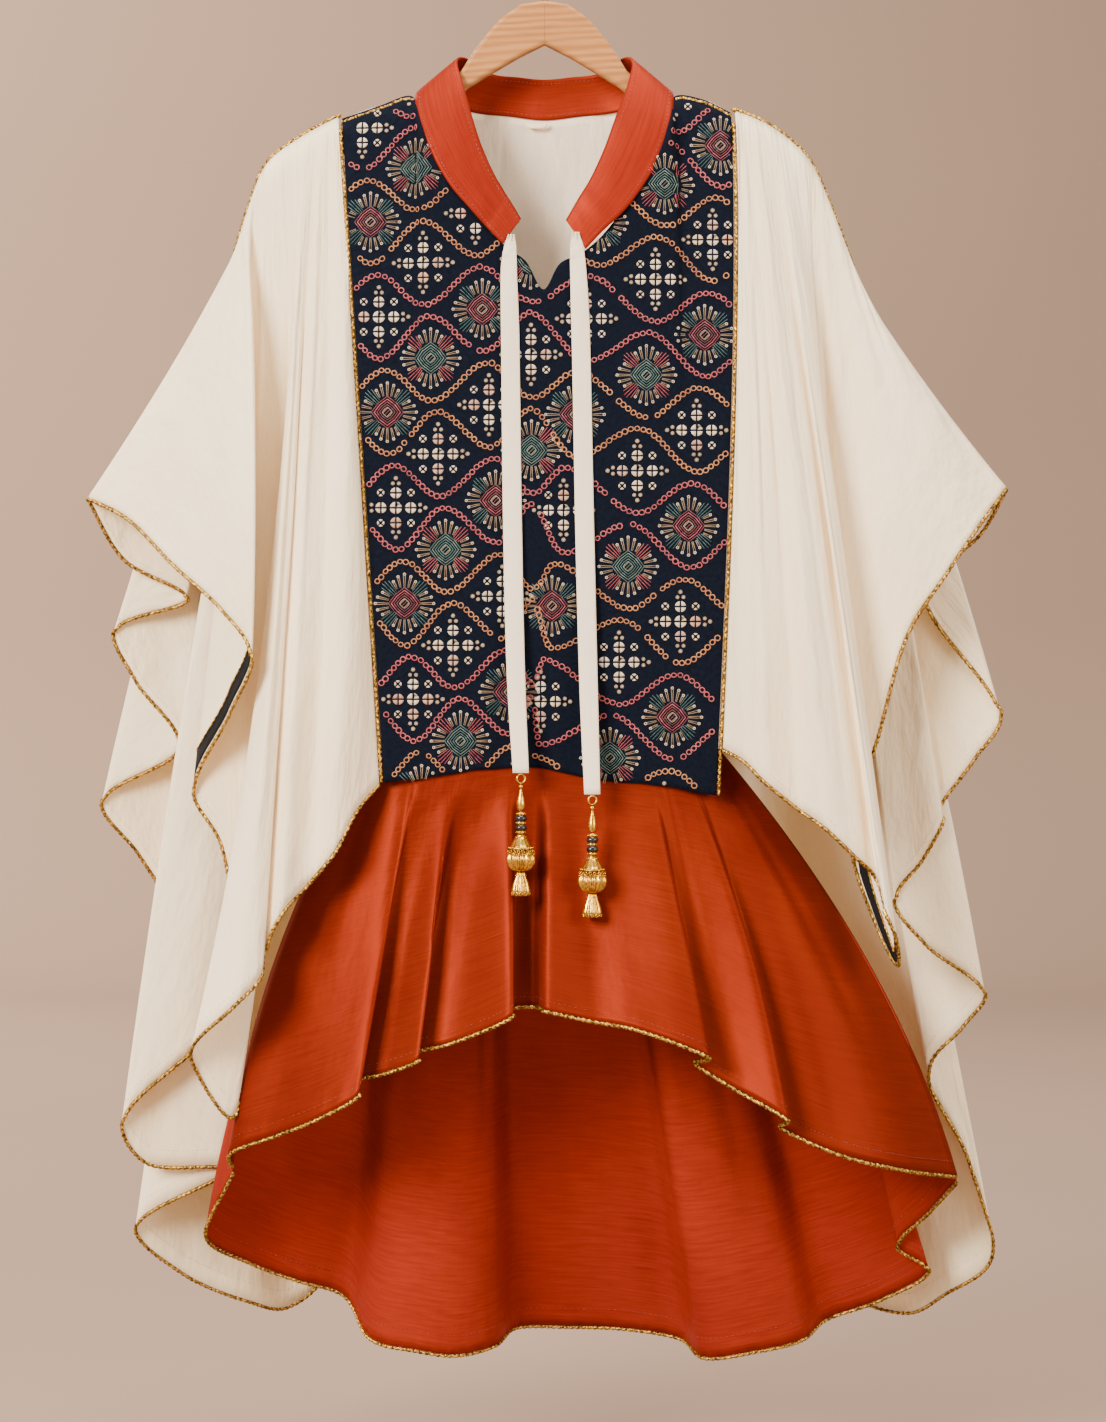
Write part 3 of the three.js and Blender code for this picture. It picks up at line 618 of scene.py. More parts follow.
def skirt_line(face, row, t):
    """A fold line down the skirt. Folds that go inwards open sooner than those that stand out."""
    top_x, x, y, z, bow = row
    side = 1 - abs(top_x / SKIRT_TOP_HALF) ** SKIRT_SQUARENESS
    middle = face * SKIRT_MEAN_DEPTH * side
    top = Vector((top_x, face * (SKIRT_SEAM_GAP + SKIRT_TOP_DEPTH * side), SKIRT_TOP_Z))
    hem = seen(x, y, z)
    point = top.lerp(hem, t)
    point.x += bow * bow_out(t)
    below = max(0, (t - SKIRT_FOLD_START) / (1 - SKIRT_FOLD_START))
    folded = below ** SKIRT_FOLD
    if face * (hem.y - middle) < 0:
        folded += VALLEY_DEPTH * below * (1 - below)
    point.y = top.y + (middle - top.y) * t ** SKIRT_FLARE + (hem.y - middle) * folded
    return point


def collar_line(row, t):
    """A line across the collar, t from 0 at its seam to 1 at its free edge."""
    seam_x, seam_z, free_x, free_z, y = row
    way = 1 if y < 0 else -1
    depth = y - way * COLLAR_BOW * bow_out(t) + way * COLLAR_LEAN * t
    if y < COLLAR_FRONT:
        t = t * (1 + COLLAR_LAP) - COLLAR_LAP
        depth -= COLLAR_PRESS * (1 - t) ** 3
    return seen(seam_x + (free_x - seam_x) * t, depth, seam_z + (free_z - seam_z) * t)


# The step that a sheet's normal is read over, and where its hem starts to pucker
NORMAL_STEP = 0.004
PUCKER_START = 0.9


class Sheet:
    """A cloth surface: fold lines joined across, with creases pressed in along the cloth."""

    def __init__(self, rows, line, creases=(), hem_pucker=0.0):
        self.rows, self.line, self.creases, self.hem_pucker = rows, line, creases, hem_pucker
        self.kept = {}

    def base(self, u, t):
        """The cloth at u across its lines and t down them, before it is creased."""
        key = round(t, 6)
        if key not in self.kept:
            self.kept[key] = [self.line(row, t) for row in self.rows]
        return smooth(self.kept[key], u)

    def normal(self, u, t):
        along = self.base(min(u + NORMAL_STEP, 1), t) - self.base(max(u - NORMAL_STEP, 0), t)
        down = self.base(u, min(t + NORMAL_STEP, 1)) - self.base(u, max(t - NORMAL_STEP, 0))
        return along.cross(down).normalized()

    def press(self, u, t):
        """How far the creases move the cloth along its normal, in millimetres."""
        total = 0
        for at, lean, start, end, width, depth in self.creases:
            if start < t < end:
                off = (u - at - lean * (t - start)) / width
                if abs(off) < 3:
                    fade = math.sin(math.pi * (t - start) / (end - start))
                    total += depth * fade * math.exp(-off * off)
        if self.hem_pucker and t > PUCKER_START:
            near_hem = (t - PUCKER_START) / (1 - PUCKER_START)
            total += self.hem_pucker * near_hem * math.sin(u * 530 + 4 * math.sin(u * 61))
        return total

    def __call__(self, u, t):
        point = self.base(u, t)
        press = self.press(u, t)
        return point + self.normal(u, t) * press if press else point


def hand_creases(count, depth, width, spread=0.25):
    """Uneven soft creases that run down from the seam, each third one pressed the other way."""
    made = []
    for k in range(count):
        at = (k + 0.5 + draw.uniform(-0.3, 0.3)) / count
        start = draw.uniform(0.0, 0.3)
        end = min(1.15, start + draw.uniform(0.35, 0.9))
        side = 1 if k % 3 else -1
        made.append((at, draw.uniform(-spread, spread) * 0.1, start, end,
                     width * draw.uniform(0.6, 1.4), side * depth * draw.uniform(0.5, 1.2)))
    return made


# Cloth pieces. Capes: fold lines, shoulder line, face and the flat cloth's size in metres
WINGS = {
    "front_left": (WING_FRONT_LEFT, SHOULDER_LEFT, -1, (0.62, 0.72)),
    "back_left": (WING_BACK_LEFT, SHOULDER_LEFT, 1, (0.95, 0.98)),
    "front_right": (WING_FRONT_RIGHT, SHOULDER_RIGHT, -1, (0.6, 0.68)),
    "back_right": (WING_BACK_RIGHT, SHOULDER_RIGHT, 1, (0.9, 0.98)),
}
SKIRTS = {
    "front": (SKIRT_FRONT, -1, (0.95, 0.42)),
    "back": (SKIRT_BACK, 1, (1.05, 0.56)),
}
# Cloth meshes: the columns between two fold lines, and the steps from top to hem
CAPE_GRID = (10, 70)
SKIRT_GRID = (9, 54)
PANEL_GRID = (9, 130)
BACK_GRID = (12, 90)
# Creases made by chance: how many, their height in millimetres, their width as a share of the cloth
CAPE_CREASES = (19, 2.3, 0.014)
SKIRT_CREASES = (15, 1.9, 0.014)
BACK_CREASES = (14, 1.5, 0.02)
CAPE_PUCKER = 0.25
SKIRT_PUCKER = 0.4
PANEL_FLAT = (0.33, 0.62)
BACK_FLAT = (0.34, 0.6)
COLLAR_FLAT = (0.52, 0.05)
TIE_FLAT = (0.016, 0.46)
CLOTH_WALL = 0.0011
COLLAR_WALL = 0.002
RIBBON_WALL = 0.0008
# The ties: the depth of their gathers, how fast those spread out, and the height of their ripples
TIE_PLEAT = 2.2
TIE_SPREAD = 22
TIE_RIPPLE = 0.35
# A mesh's middle surface is a little larger than the cut, because its folds are creased in
# Creases: place across, lean, start and end down the cloth, width, height in millimetres
PANEL_CREASES = [
    (0.52, 0.0, 0.35, 1.2, 0.02, 1.2), (0.3, 0.01, 0.2, 0.9, 0.03, -0.7),
    (0.74, -0.01, 0.15, 0.95, 0.03, -0.8),
]
CENTRE_SEAM = (0.506, -0.16, -0.6, 0.55, 0.007, 1.3)
COLLAR_CREASES = [
    (0.06, 0, -0.5, 1.5, 0.012, 0.8), (0.93, 0, -0.5, 1.5, 0.014, -0.7),
    (0.25, 0.02, -0.5, 1.5, 0.012, 0.5),
]


def cloth_mesh(sheet, grid, flat):
    columns, steps = grid
    return surface_mesh(sheet, (len(sheet.rows) - 1) * columns, steps, flat)


def wings():
    """The four cape pieces. Gives their sheets by name."""
    cream = cream_paint()
    sheets = {}
    for name, (rows, seam, face, flat) in WINGS.items():
        def line(row, t, seam=seam, face=face):
            return wing_line(seam, face, row, t)
        sheet = Sheet(rows, line, hand_creases(*CAPE_CREASES), CAPE_PUCKER)
        sheets[name] = sheet
        mesh = cloth_mesh(sheet, CAPE_GRID, flat)
        piece = finish_mesh(f"cape_{name}", mesh, cream, "tunic", [f"wing_{name}"])
        thicken(piece, CLOTH_WALL)
    return sheets


def skirt():
    """The skirt's front and back. Gives their sheets by name."""
    silks = {
        "front": orange_paint(),
        # The back's silk, seen from inside, is lighter and bluer than the front's: painted light,
        # standing in for light that reaches its shaded inside.
        "back": orange_paint("orange_silk_inside_painted_light", (0.21, 0.0142, 0.0085), (0.325, 0.031, 0.0125)),
    }
    sheets = {}
    for name, (rows, face, flat) in SKIRTS.items():
        def line(row, t, face=face):
            return skirt_line(face, row, t)
        sheet = Sheet(rows, line, hand_creases(*SKIRT_CREASES), SKIRT_PUCKER)
        sheets[name] = sheet
        mesh = cloth_mesh(sheet, SKIRT_GRID, flat)
        piece = finish_mesh(f"skirt_cloth_{name}", mesh, silks[name], "tunic",
                            [f"skirt_{name}"])
        thicken(piece, CLOTH_WALL)
    return sheets


def bodice():
    """The embroidered panel and the back bodice. Gives the panel's sheet and its piece."""
    front = Sheet(PANEL, lambda row, t: bodice_line(-1, row, t), PANEL_CREASES)
    back = Sheet(BACK_BODICE, lambda row, t: bodice_line(1, row, t),
                 hand_creases(*BACK_CREASES) + [CENTRE_SEAM])
    mesh = cloth_mesh(front, PANEL_GRID, PANEL_FLAT)
    panel = finish_mesh("panel_cloth", mesh, navy_paint(), "tunic",
                        ["panel_front"])
    mesh = cloth_mesh(back, BACK_GRID, BACK_FLAT)
    inside = cream_paint("back_cloth", (0.82, 0.66, 0.5), (0.92, 0.76, 0.6))
    back_piece = finish_mesh("back_cloth", mesh, inside, "tunic", ["back_bodice"])
    for piece, flat in ((panel, PANEL_FLAT), (back_piece, BACK_FLAT)):
        thicken(piece, CLOTH_WALL)
    return front, panel


def collar():
    rows = COLLAR_LEFT + COLLAR_RIGHT[::-1]
    sheet = Sheet(rows, collar_line, COLLAR_CREASES)
    mesh = surface_mesh(sheet, 240, 14, COLLAR_FLAT)
    # The collar's silk is lighter than the skirt's front: painted light, standing in for the ambient
    # light in the collar's shade.
    silk = orange_paint("collar_silk_painted_light", (0.19, 0.0125, 0.0062), (0.255, 0.023, 0.0078))
    band = finish_mesh("collar_band", mesh, silk, "tunic", ["collar"])
    thicken(band, COLLAR_WALL)
    return sheet


def tie(name, rows):
    """A ribbon that is gathered where it is sewn on and ripples as it hangs."""
    middle = [seen(x, y, z) for x, z, _, y in rows]
    widths = [Vector((width, 0, 0)) for _, _, width, _ in rows]

    def surface(u, t):
        across = (u - 0.5) * 2
        half = smooth(widths, t).x / 2
        gather = math.exp(-t * TIE_SPREAD)
        point = smooth(middle, t) + Vector((across * half, across * across, 0))
        point.y -= TIE_PLEAT * gather * math.cos(across * 7)
        point.y -= TIE_RIPPLE * math.sin(t * 19 + across * 1.4) * min(t * 4, 1)
        return point

    mesh = surface_mesh(surface, 14, 90, TIE_FLAT)
    paint = cream_paint(f"ribbon_{name}", (0.84, 0.67, 0.47), (0.9, 0.74, 0.54))
    ribbon = finish_mesh(f"ribbon_{name}", mesh, paint, "tunic", [f"tie_{name}"])
    thicken(ribbon, RIBBON_WALL)


# Gold braid: a flat oval cord that turns as it runs, just past a cloth edge, in millimetres
BRAID_PITCH = 5.2
BRAID_STEP = 1.15
BRAID_SIDES = 7
BRAID_SIZE = (1.9, 1.3)
BRAID_TIP = 0.55
# How near a sheet's hem its last stretch is read, and how far to each side
RIM = 0.97
BESIDE = 0.003
# The hem's tape: its width, its distance from the hem and from the cloth, its cord and its wall
TAPE_WIDTH = 10.0
TAPE_SET_BACK = 0.8
TAPE_OUT = 0.95
TAPE_REACH = 0.06
TAPE_CORD_OUT = 1.3
TAPE_CORD_SIZE = (0.9, 0.6)
TAPE_WALL = 0.0004
# The loop at the back neck: its middle, half width, height, sag and bow
NECK_LOOP = (-7, 26.5, -157.3)
NECK_LOOP_HALF = 9
NECK_LOOP_HIGH = 3.4
NECK_LOOP_SAG = 2.2
NECK_LOOP_BOW = 1.2


def even_route(points, step):
    """Points along the same line, evenly spaced at about the step."""
    lengths = [0.0]
    for a, b in zip(points, points[1:]):
        lengths.append(lengths[-1] + (b - a).length)
    count = max(int(lengths[-1] / step), 8)
    route = []
    at = 0
    for k in range(count + 1):
        want = lengths[-1] * k / count
        while at < len(lengths) - 2 and lengths[at + 1] < want:
            at += 1
        span = max(lengths[at + 1] - lengths[at], 1e-6)
        route.append(points[at].lerp(points[at + 1], min((want - lengths[at]) / span, 1)))
    return route


def braid(name, points, node, size=BRAID_SIZE):
    """A turning flat cord along points, which stands for the frame's piping where it has one."""
    route = even_route(points, BRAID_STEP)
    count = len(route) - 1
    mesh = bmesh.new()
    bmesh.ops.create_grid(mesh, x_segments=count, y_segments=BRAID_SIDES, size=0.5)
    side = Vector((0, 1, 0))
    frames = []
    for k, point in enumerate(route):
        way = (route[min(k + 1, count)] - route[max(k - 1, 0)]).normalized()
        side = (side - way * side.dot(way)).normalized()
        frames.append((point, side.copy(), way.cross(side)))
    for v in mesh.verts:
        k = round((v.co.x + 0.5) * count)
        point, a, b = frames[k]
        around = (v.co.y + 0.5) * math.tau
        turn = math.pi * k * BRAID_STEP / BRAID_PITCH
        wide, high = size[0] * math.cos(around), size[1] * math.sin(around)
        end = BRAID_TIP if k in (0, count) else 1
        x = end * (wide * math.cos(turn) - high * math.sin(turn))
        y = end * (wide * math.sin(turn) + high * math.cos(turn))
        v.co = (point + a * x + b * y) * MM
    bmesh.ops.remove_doubles(mesh, verts=mesh.verts, dist=1e-6)
    bmesh.ops.holes_fill(mesh, edges=[e for e in mesh.edges if e.is_boundary], sides=12)
    bmesh.ops.recalc_face_normals(mesh, faces=mesh.faces)
    finish_mesh(name, mesh, GOLD, "tunic", [node] if node else ())


def tape_paint(name):
    paint = Paint(f"tape_{name}", 0.7)
    paint.shader.inputs["Specular IOR Level"].default_value = 0.2
    ribs = paint.wave(paint.space("UV", (600, 1, 1)), 1.0, 1.0, "X")
    paint.color(paint.ramp(ribs, (0.2, (0.0012, 0.001, 0.001)), (0.8, (0.005, 0.0045, 0.0045))))
    paint.bump(ribs, 0.4, 0.0003)
    return paint.material


def hem_tape(name, sheet, start, end, inner):
    """A black tape with a gold cord, sewn inside a cape's hem where the hem turns over."""
    def surface(u, t, out=TAPE_OUT):
        s = start + (end - start) * u
        rim, above = sheet.base(s, 1), sheet.base(s, RIM)
        along = (sheet.base(s + BESIDE, 1) - sheet.base(s - BESIDE, 1)).normalized()
        rise = above - rim
        upright = (rise - along * rise.dot(along)).length / (1 - RIM)
        at = 1 - min((TAPE_SET_BACK + (1 - t) * TAPE_WIDTH) / upright, TAPE_REACH)
        return sheet.base(s, at) + sheet.normal(s, at) * inner * out

    count = 150
    route = [surface(k / count, 0.5) for k in range(count + 1)]
    length = sum((b - a).length for a, b in zip(route, route[1:])) * MM
    flat = (round(length, 3), TAPE_WIDTH * MM)
    mesh = surface_mesh(surface, count, 3, flat)
    tape = finish_mesh(f"hem_tape_{name}", mesh, tape_paint(name), "tunic")
    thicken(tape, TAPE_WALL)
    cord = [surface(k / count, 0, TAPE_CORD_OUT) for k in range(count + 1)]
    braid(f"tape_cord_{name}", cord, None, TAPE_CORD_SIZE)


def hang_loop():
    """The short loop at the back of the neck, under the collar's seam."""
    x, y, z = NECK_LOOP

    def surface(u, t):
        across = (u - 0.5) * 2
        sag = NECK_LOOP_SAG * (1 - across ** 4)
        bow = NECK_LOOP_BOW * (1 - across * across)
        return Vector((x + NECK_LOOP_HALF * across, y - bow, z - sag - NECK_LOOP_HIGH * t))

    mesh = surface_mesh(surface, 24, 3, (0.02, NECK_LOOP_HIGH * MM))
    loop = finish_mesh("hang_loop", mesh, cream_paint("loop_tape"), "tunic")
    thicken(loop, 0.001)


def beyond(sheet, count, out, edge="hem"):
    """Points just past a sheet's hem, or its first or last fold line."""
    points = []
    at, inside = (0, 0.01) if edge == "first" else (1, 0.99)
    for k in range(count + 1):
        w = k / count
        if edge == "hem":
            rim, inner = sheet.base(w, 1), sheet.base(w, RIM)
            along = sheet.base(min(w + BESIDE, 1), 1) - sheet.base(max(w - BESIDE, 0), 1)
        else:
            rim, inner = sheet.base(at, w), sheet.base(inside, w)
            along = sheet.base(at, min(w + 0.01, 1)) - sheet.base(at, max(w - 0.01, 0))
        along.normalize()
        away = rim - inner
        away = (away - along * away.dot(along)).normalized()
        points.append(rim + away * out)
    return points


# Embroidery, charted on the panel in millimetres. Columns of medallions: x at the
# chart's top, how far the column leans for each millimetre down, and its height above the rest
CHART_COLUMNS = [
    (-149, 0.090, -5), (-107, 0.078, 0), (-60, 0.070, 1), (-12, 0.005, 3), (50, -0.120, -7),
    (101, -0.095, -14), (145, -0.085, -20),
]
CHART_ROWS = range(-1, 8)
ROW_PITCH = 79.5
CHART_TOP = -204
# The column that the ties hang over has no motifs below this row
SLIT_COLUMN = 3
SLIT_ROW = 3
# The wave lines: their number, swing and ends, and the spacing of their links
WAVES = 16
WAVE_SWING = 15
WAVE_START = -172
WAVE_END = 165
LINK_PITCH = 5.3
# Stitches on the cloth: the longest straight stretch, and the free cloth that one needs round it
STITCH_STRETCH = 7
STITCH_ROOM = 1.5
LOT_SIZE = 1500


class Heap:
    """A mesh that grows by many small pieces, kept in short lots so that each is added fast."""

    def __init__(self):
        self.lot = bmesh.new()
        self.lots = []

    def work(self):
        """The lot that the next piece goes into."""
        if len(self.lot.verts) > LOT_SIZE:
            self.put_away()
        return self.lot

    def put_away(self):
        data = bpy.data.meshes.new("lot")
        self.lot.to_mesh(data)
        self.lots.append(data)
        self.lot.clear()

    def gather(self):
        """The whole mesh, once the last piece is in."""
        self.put_away()
        self.lot.free()
        whole = bmesh.new()
        for data in self.lots:
            whole.from_mesh(data)
            bpy.data.meshes.remove(data)
        bmesh.ops.recalc_face_normals(whole, faces=whole.faces)
        return whole


class Needle:
    """Places raised stitches on the panel's cloth and gathers them by colour of thread."""

    def __init__(self, panel):
        mesh = bmesh.new()
        mesh.from_mesh(panel.data)
        self.tree = BVHTree.FromBMesh(mesh)
        mesh.free()
        self.threads = {}

    def on_cloth(self, x, z):
        """The place and the outward direction of the cloth at x, z, or None off the panel."""
        hit = self.tree.ray_cast(Vector((x * MM, -0.3, z * MM)), Vector((0, 1, 0)), 0.4)
        if hit[0] is None:
            return None
        out = hit[1] if hit[1].y < 0 else -hit[1]
        return hit[0], out

    def thread(self, color):
        """The mesh that takes the next stitch of a colour."""
        if color not in self.threads:
            self.threads[color] = Heap()
        return self.threads[color].work()

    def settle(self, verts, x, z, lift, turn=0.0):
        """Lays new vertices, made flat in X and Y in metres, on the cloth at x, z."""
        spot = self.on_cloth(x, z)
        if spot is None:
            return
        place, out = spot
        face = out.to_track_quat("Z", "Y").to_matrix().to_4x4()
        matrix = Matrix.Translation(place + out * lift) @ face @ Matrix.Rotation(turn, 4, "Z")
        for v in verts:
            v.co = matrix @ v.co

    def inside(self, x, z, margin):
        """Whether the cloth reaches the margin to each side of x, z."""
        return all(self.on_cloth(x + dx, z + dz) for dx, dz in
                   ((0, 0), (margin, 0), (-margin, 0), (0, margin), (0, -margin)))

    def ring(self, color, x, z, radius, thick, sides, squash=1.0, turn=0.0):
        """A round or oval link of thread."""
        if not self.inside(x, z, radius):
            return
        made = wire_ring(self.thread(color), radius, thick, 4, sides)
        for v in made:
            v.co.y *= squash
        self.settle(made, x, z, CLOTH_WALL / 2 + thick * 0.5 * MM, turn)

    def petal(self, color, x, z, radius, turn, gap=0.55, high=0.7):
        """A quarter of a disc, its two straight sides set back from the disc's middle."""
        mesh = self.thread(color)
        made = bmesh.ops.create_circle(mesh, cap_ends=True, segments=6, radius=1)["verts"]
        made[0].co = (gap * MM, gap * MM, 0)
        for k, v in enumerate(made[1:]):
            angle = math.radians(7 + 76 * k / 4)
            v.co = (radius * math.cos(angle) * MM, radius * math.sin(angle) * MM, 0)
        face = made[0].link_faces[0]
        middle = face.calc_center_median()
        top = bmesh.ops.extrude_face_region(mesh, geom=[face])["geom"]
        for v in top:
            if isinstance(v, bmesh.types.BMVert):
                v.co = middle + (v.co - middle) * 0.72 + Vector((0, 0, high * MM))
                made.append(v)
        self.settle(made, x, z, CLOTH_WALL / 2 - 0.1 * MM, turn)

    def dot(self, color, x, z, radius, sides, high):
        """A small mound of thread, narrower at its top."""
        if not self.inside(x, z, radius):
            return
        mesh = self.thread(color)
        made = bmesh.ops.create_cone(mesh, cap_ends=True, segments=sides, radius1=radius * MM,
                                     radius2=radius * 0.55 * MM, depth=high * MM)["verts"]
        self.settle(made, x, z, CLOTH_WALL / 2 + high * 0.35 * MM)

    def stitch(self, color, x0, z0, x1, z1, thick):
        """A thread laid from one point to another, in short stretches that follow the cloth."""
        dx, dz = x1 - x0, z1 - z0
        length = math.hypot(dx, dz)
        parts = max(1, round(length / STITCH_STRETCH))
        for k in range(parts):
            middle = (k + 0.5) / parts
            mx, mz = x0 + dx * middle, z0 + dz * middle
            if not self.inside(mx, mz, STITCH_ROOM):
                continue
            mesh = self.thread(color)
            made = bmesh.ops.create_cone(mesh, cap_ends=True, segments=5, radius1=thick / 2 * MM,
                                         radius2=thick / 2 * MM, depth=(length / parts + 0.5) * MM,
                                         matrix=Matrix.Rotation(math.pi / 2, 4, "Y"))["verts"]
            lift = CLOTH_WALL / 2 + thick * 0.15 * MM
            self.settle(made, mx, mz, lift, self.turn_of(dx, dz, mx, mz))

    def turn_of(self, dx, dz, x, z):
        """The turn that points a stitch along dx, dz where the cloth faces the front."""
        _, out = self.on_cloth(x, z)
        face = out.to_track_quat("Z", "Y").to_matrix()
        local = face.transposed() @ Vector((dx, 0, dz))
        return math.atan2(local.y, local.x)

    def finish(self, paints):
        for color, heap in self.threads.items():
            finish_mesh(f"embroidery_{color}", heap.gather(), paints[color], "tunic")


def column_x(column, z):
    """Where a column's middle is at height z."""
    top, lean, _ = CHART_COLUMNS[column]
    return top + lean * (CHART_TOP - z)


def column_at(x, z):
    """Which column x lies in at height z, as a number that runs on between and past them."""
    last = len(CHART_COLUMNS) - 1
    column = 0
    while column < last - 1 and column_x(column + 1, z) < x:
        column += 1
    left, right = column_x(column, z), column_x(column + 1, z)
    return column + (x - left) / (right - left)


def rise_at(column):
    """How far the chart stands up at a column number, or between two."""
    left = min(max(int(column), 0), len(CHART_COLUMNS) - 2)
    w = min(max(column - left, 0), 1)
    return CHART_COLUMNS[left][2] * (1 - w) + CHART_COLUMNS[left + 1][2] * w


def wave_line(needle, order):
    """A chain of links that swings between the columns, each line mirrored from the next."""
    color = ("rose", "amber")[(order // 2) % 2]
    level = CHART_TOP + ROW_PITCH * 0.75 - order * ROW_PITCH / 2
    way = -1 if order % 2 else 1

    def height(x):
        column = column_at(x, level)
        return level + rise_at(column) + way * WAVE_SWING * math.cos(math.pi * column)

    x = WAVE_START
    while x < WAVE_END:
        z = height(x)
        slope = height(x + 1) - z
        if draw.random() > 0.03:
            needle.ring(color, x, z + draw.uniform(-0.5, 0.5), draw.uniform(2.0, 2.4), 0.5, 9,
                        draw.uniform(0.84, 1.0), math.atan(slope))
        x += LINK_PITCH * draw.uniform(0.9, 1.1) / math.sqrt(1 + slope * slope)


# The motifs' sizes on the cloth, in millimetres
RAY_ENDS = (19, 21.6, 23, 21.6, 19)
RAY_SPREAD = 0.235
DISC = 5.1
ARM_DISC = 4.7
ARM = 12.4
FLOWER = 3.1
# A cluster's dots: to the side, out from the middle, size
CLUSTER = [(-2.5, 20.2, 1.7), (2.5, 20.2, 1.7), (0, 24.6, 1.9)]


def sun(needle, x, z, color, other):
    """A rounded diamond with lines inside it, rays that end in rings, and four striped leaves."""
    cool = color == "teal"
    for size, tone in ((13.2, color), (10.9, "sage" if cool else "rose"), (8.6, color),
                       (6.3, color), (4.1, "sage" if cool else "sand")):
        corners = [(0, size), (size, 0), (0, -size), (-size, 0)]
        for k in range(4):
            (ax, az), (bx, bz) = corners[k], corners[(k + 1) % 4]
            cx, cz = (ax + bx) * 0.57, (az + bz) * 0.57
            needle.stitch(tone, x + ax, z + az, x + cx, z + cz, 0.68)
            needle.stitch(tone, x + cx, z + cz, x + bx, z + bz, 0.68)
    for off in (-1.6, 0, 1.6):
        needle.stitch("sand" if off else color, x - 2 + off, z - 2 - off, x + 2 + off, z + 2 - off, 0.6)
    for quarter in range(4):
        base = quarter * math.pi / 2
        for k, far in enumerate(RAY_ENDS):
            angle = base + (k - 2) * RAY_SPREAD
            near = 13.6 + abs(k - 2) * 0.1
            dx, dz = math.cos(angle), math.sin(angle)
            for off in (-0.45, 0.45):
                needle.stitch("sand", x + dx * near - dz * off, z + dz * near + dx * off,
                              x + dx * far - dz * off * 1.8, z + dz * far + dx * off * 1.8, 0.5)
            needle.ring("cream", x + dx * (far + 1.3), z + dz * (far + 1.3), 0.95, 0.36, 7)
        diagonal = base + math.pi / 4
        dx, dz = math.cos(diagonal), math.sin(diagonal)
        for k in range(4):
            off = (k - 1.5) * 1.7
            near, far = 10.8 + abs(off) * 0.5, 25.5 - abs(off) * 1.2
            needle.stitch(other, x + dx * near - dz * off, z + dz * near + dx * off,
                          x + dx * far - dz * off * 1.6, z + dz * far + dx * off * 1.6, 0.5)


def quartered_disc(needle, x, z, radius, color="cream"):
    """A disc of four petals with a dark cross between them."""
    if not needle.inside(x, z, radius):
        return
    for k in range(4):
        needle.petal(color, x, z, radius, k * math.pi / 2)


def cross(needle, x, z):
    """Five discs in a cross, clusters of dots at its ends and small flowers between them."""
    quartered_disc(needle, x, z, DISC)
    for quarter in range(4):
        angle = quarter * math.pi / 2
        dx, dz = math.cos(angle), math.sin(angle)
        tone = "peach" if draw.random() < 0.3 else "cream"
        quartered_disc(needle, x + dx * ARM, z + dz * ARM, ARM_DISC, tone)
        for off, far, size in CLUSTER:
            px, pz = x + dx * far - dz * off, z + dz * far + dx * off
            needle.ring("sand", px, pz, size * 0.7, 0.5, 7)
            needle.dot("cream", px, pz, size * 0.5, 6, 0.7)
        fx, fz = x + (dx - dz) * 12.6, z + (dz + dx) * 12.6
        if needle.inside(fx, fz, 3.6):
            for k in range(4):
                needle.petal("cream", fx, fz, FLOWER, math.pi / 4 + k * math.pi / 2, 0.7)


def embroider(panel):
    """Lays the whole chart on the panel: the wave lines, then suns and crosses in turn."""
    needle = Needle(panel)
    for order in range(WAVES):
        wave_line(needle, order)
    for column, (_, _, rise) in enumerate(CHART_COLUMNS):
        for row in CHART_ROWS:
            z = CHART_TOP + rise - row * ROW_PITCH - (ROW_PITCH / 2 if column % 2 == 0 else 0)
            x = column_x(column, z)
            if column == SLIT_COLUMN and row > SLIT_ROW:
                continue
            if (row + column // 2) % 2 == 0:
                teal = column % 2 == 1
                sun(needle, x, z, "teal" if teal else "maroon", "rose" if teal else "teal")
            else:
                cross(needle, x, z)
    needle.finish({
        "rose": thread_paint("thread_rose", (0.22, 0.012, 0.018), (0.5, 0.07, 0.07)),
        "amber": thread_paint("thread_amber", (0.26, 0.055, 0.008), (0.52, 0.2, 0.045)),
        "cream": thread_paint("thread_cream", (0.4, 0.29, 0.18), (0.72, 0.57, 0.4)),
        "peach": thread_paint("thread_peach", (0.3, 0.14, 0.08), (0.55, 0.32, 0.2)),
        "sand": thread_paint("thread_sand", (0.16, 0.095, 0.045), (0.34, 0.23, 0.13)),
        "teal": thread_paint("thread_teal", (0.012, 0.05, 0.042), (0.045, 0.13, 0.11)),
        "sage": thread_paint("thread_sage", (0.06, 0.09, 0.06), (0.17, 0.21, 0.15)),
        "maroon": thread_paint("thread_maroon", (0.06, 0.003, 0.005), (0.17, 0.012, 0.016)),
    })


# Pendants, in millimetres below the tie's end
LOOP_WIRE = 0.55
LOOP_RADIUS = 3.6
LOOP_DROP = 4.6
LOOP_TILTS = (0.0, 0.5)
BEAD_CORE = [(0, 31.8), (1.6, 31.9), (1.6, 50), (0, 50.2)]
GOLD_LEVELS = (33.5, 41.0, 48.6)
BLACK_LEVELS = (37.2, 45.0)
CONE_CAP = [
    (0, 50.4), (2.9, 50.5), (3.6, 51.3), (3.5, 52.2), (4.6, 53), (6, 55), (7.8, 58.4), (9.4, 60.6),
    (10.4, 61.6), (10.4, 62.8), (0, 63.1),
]


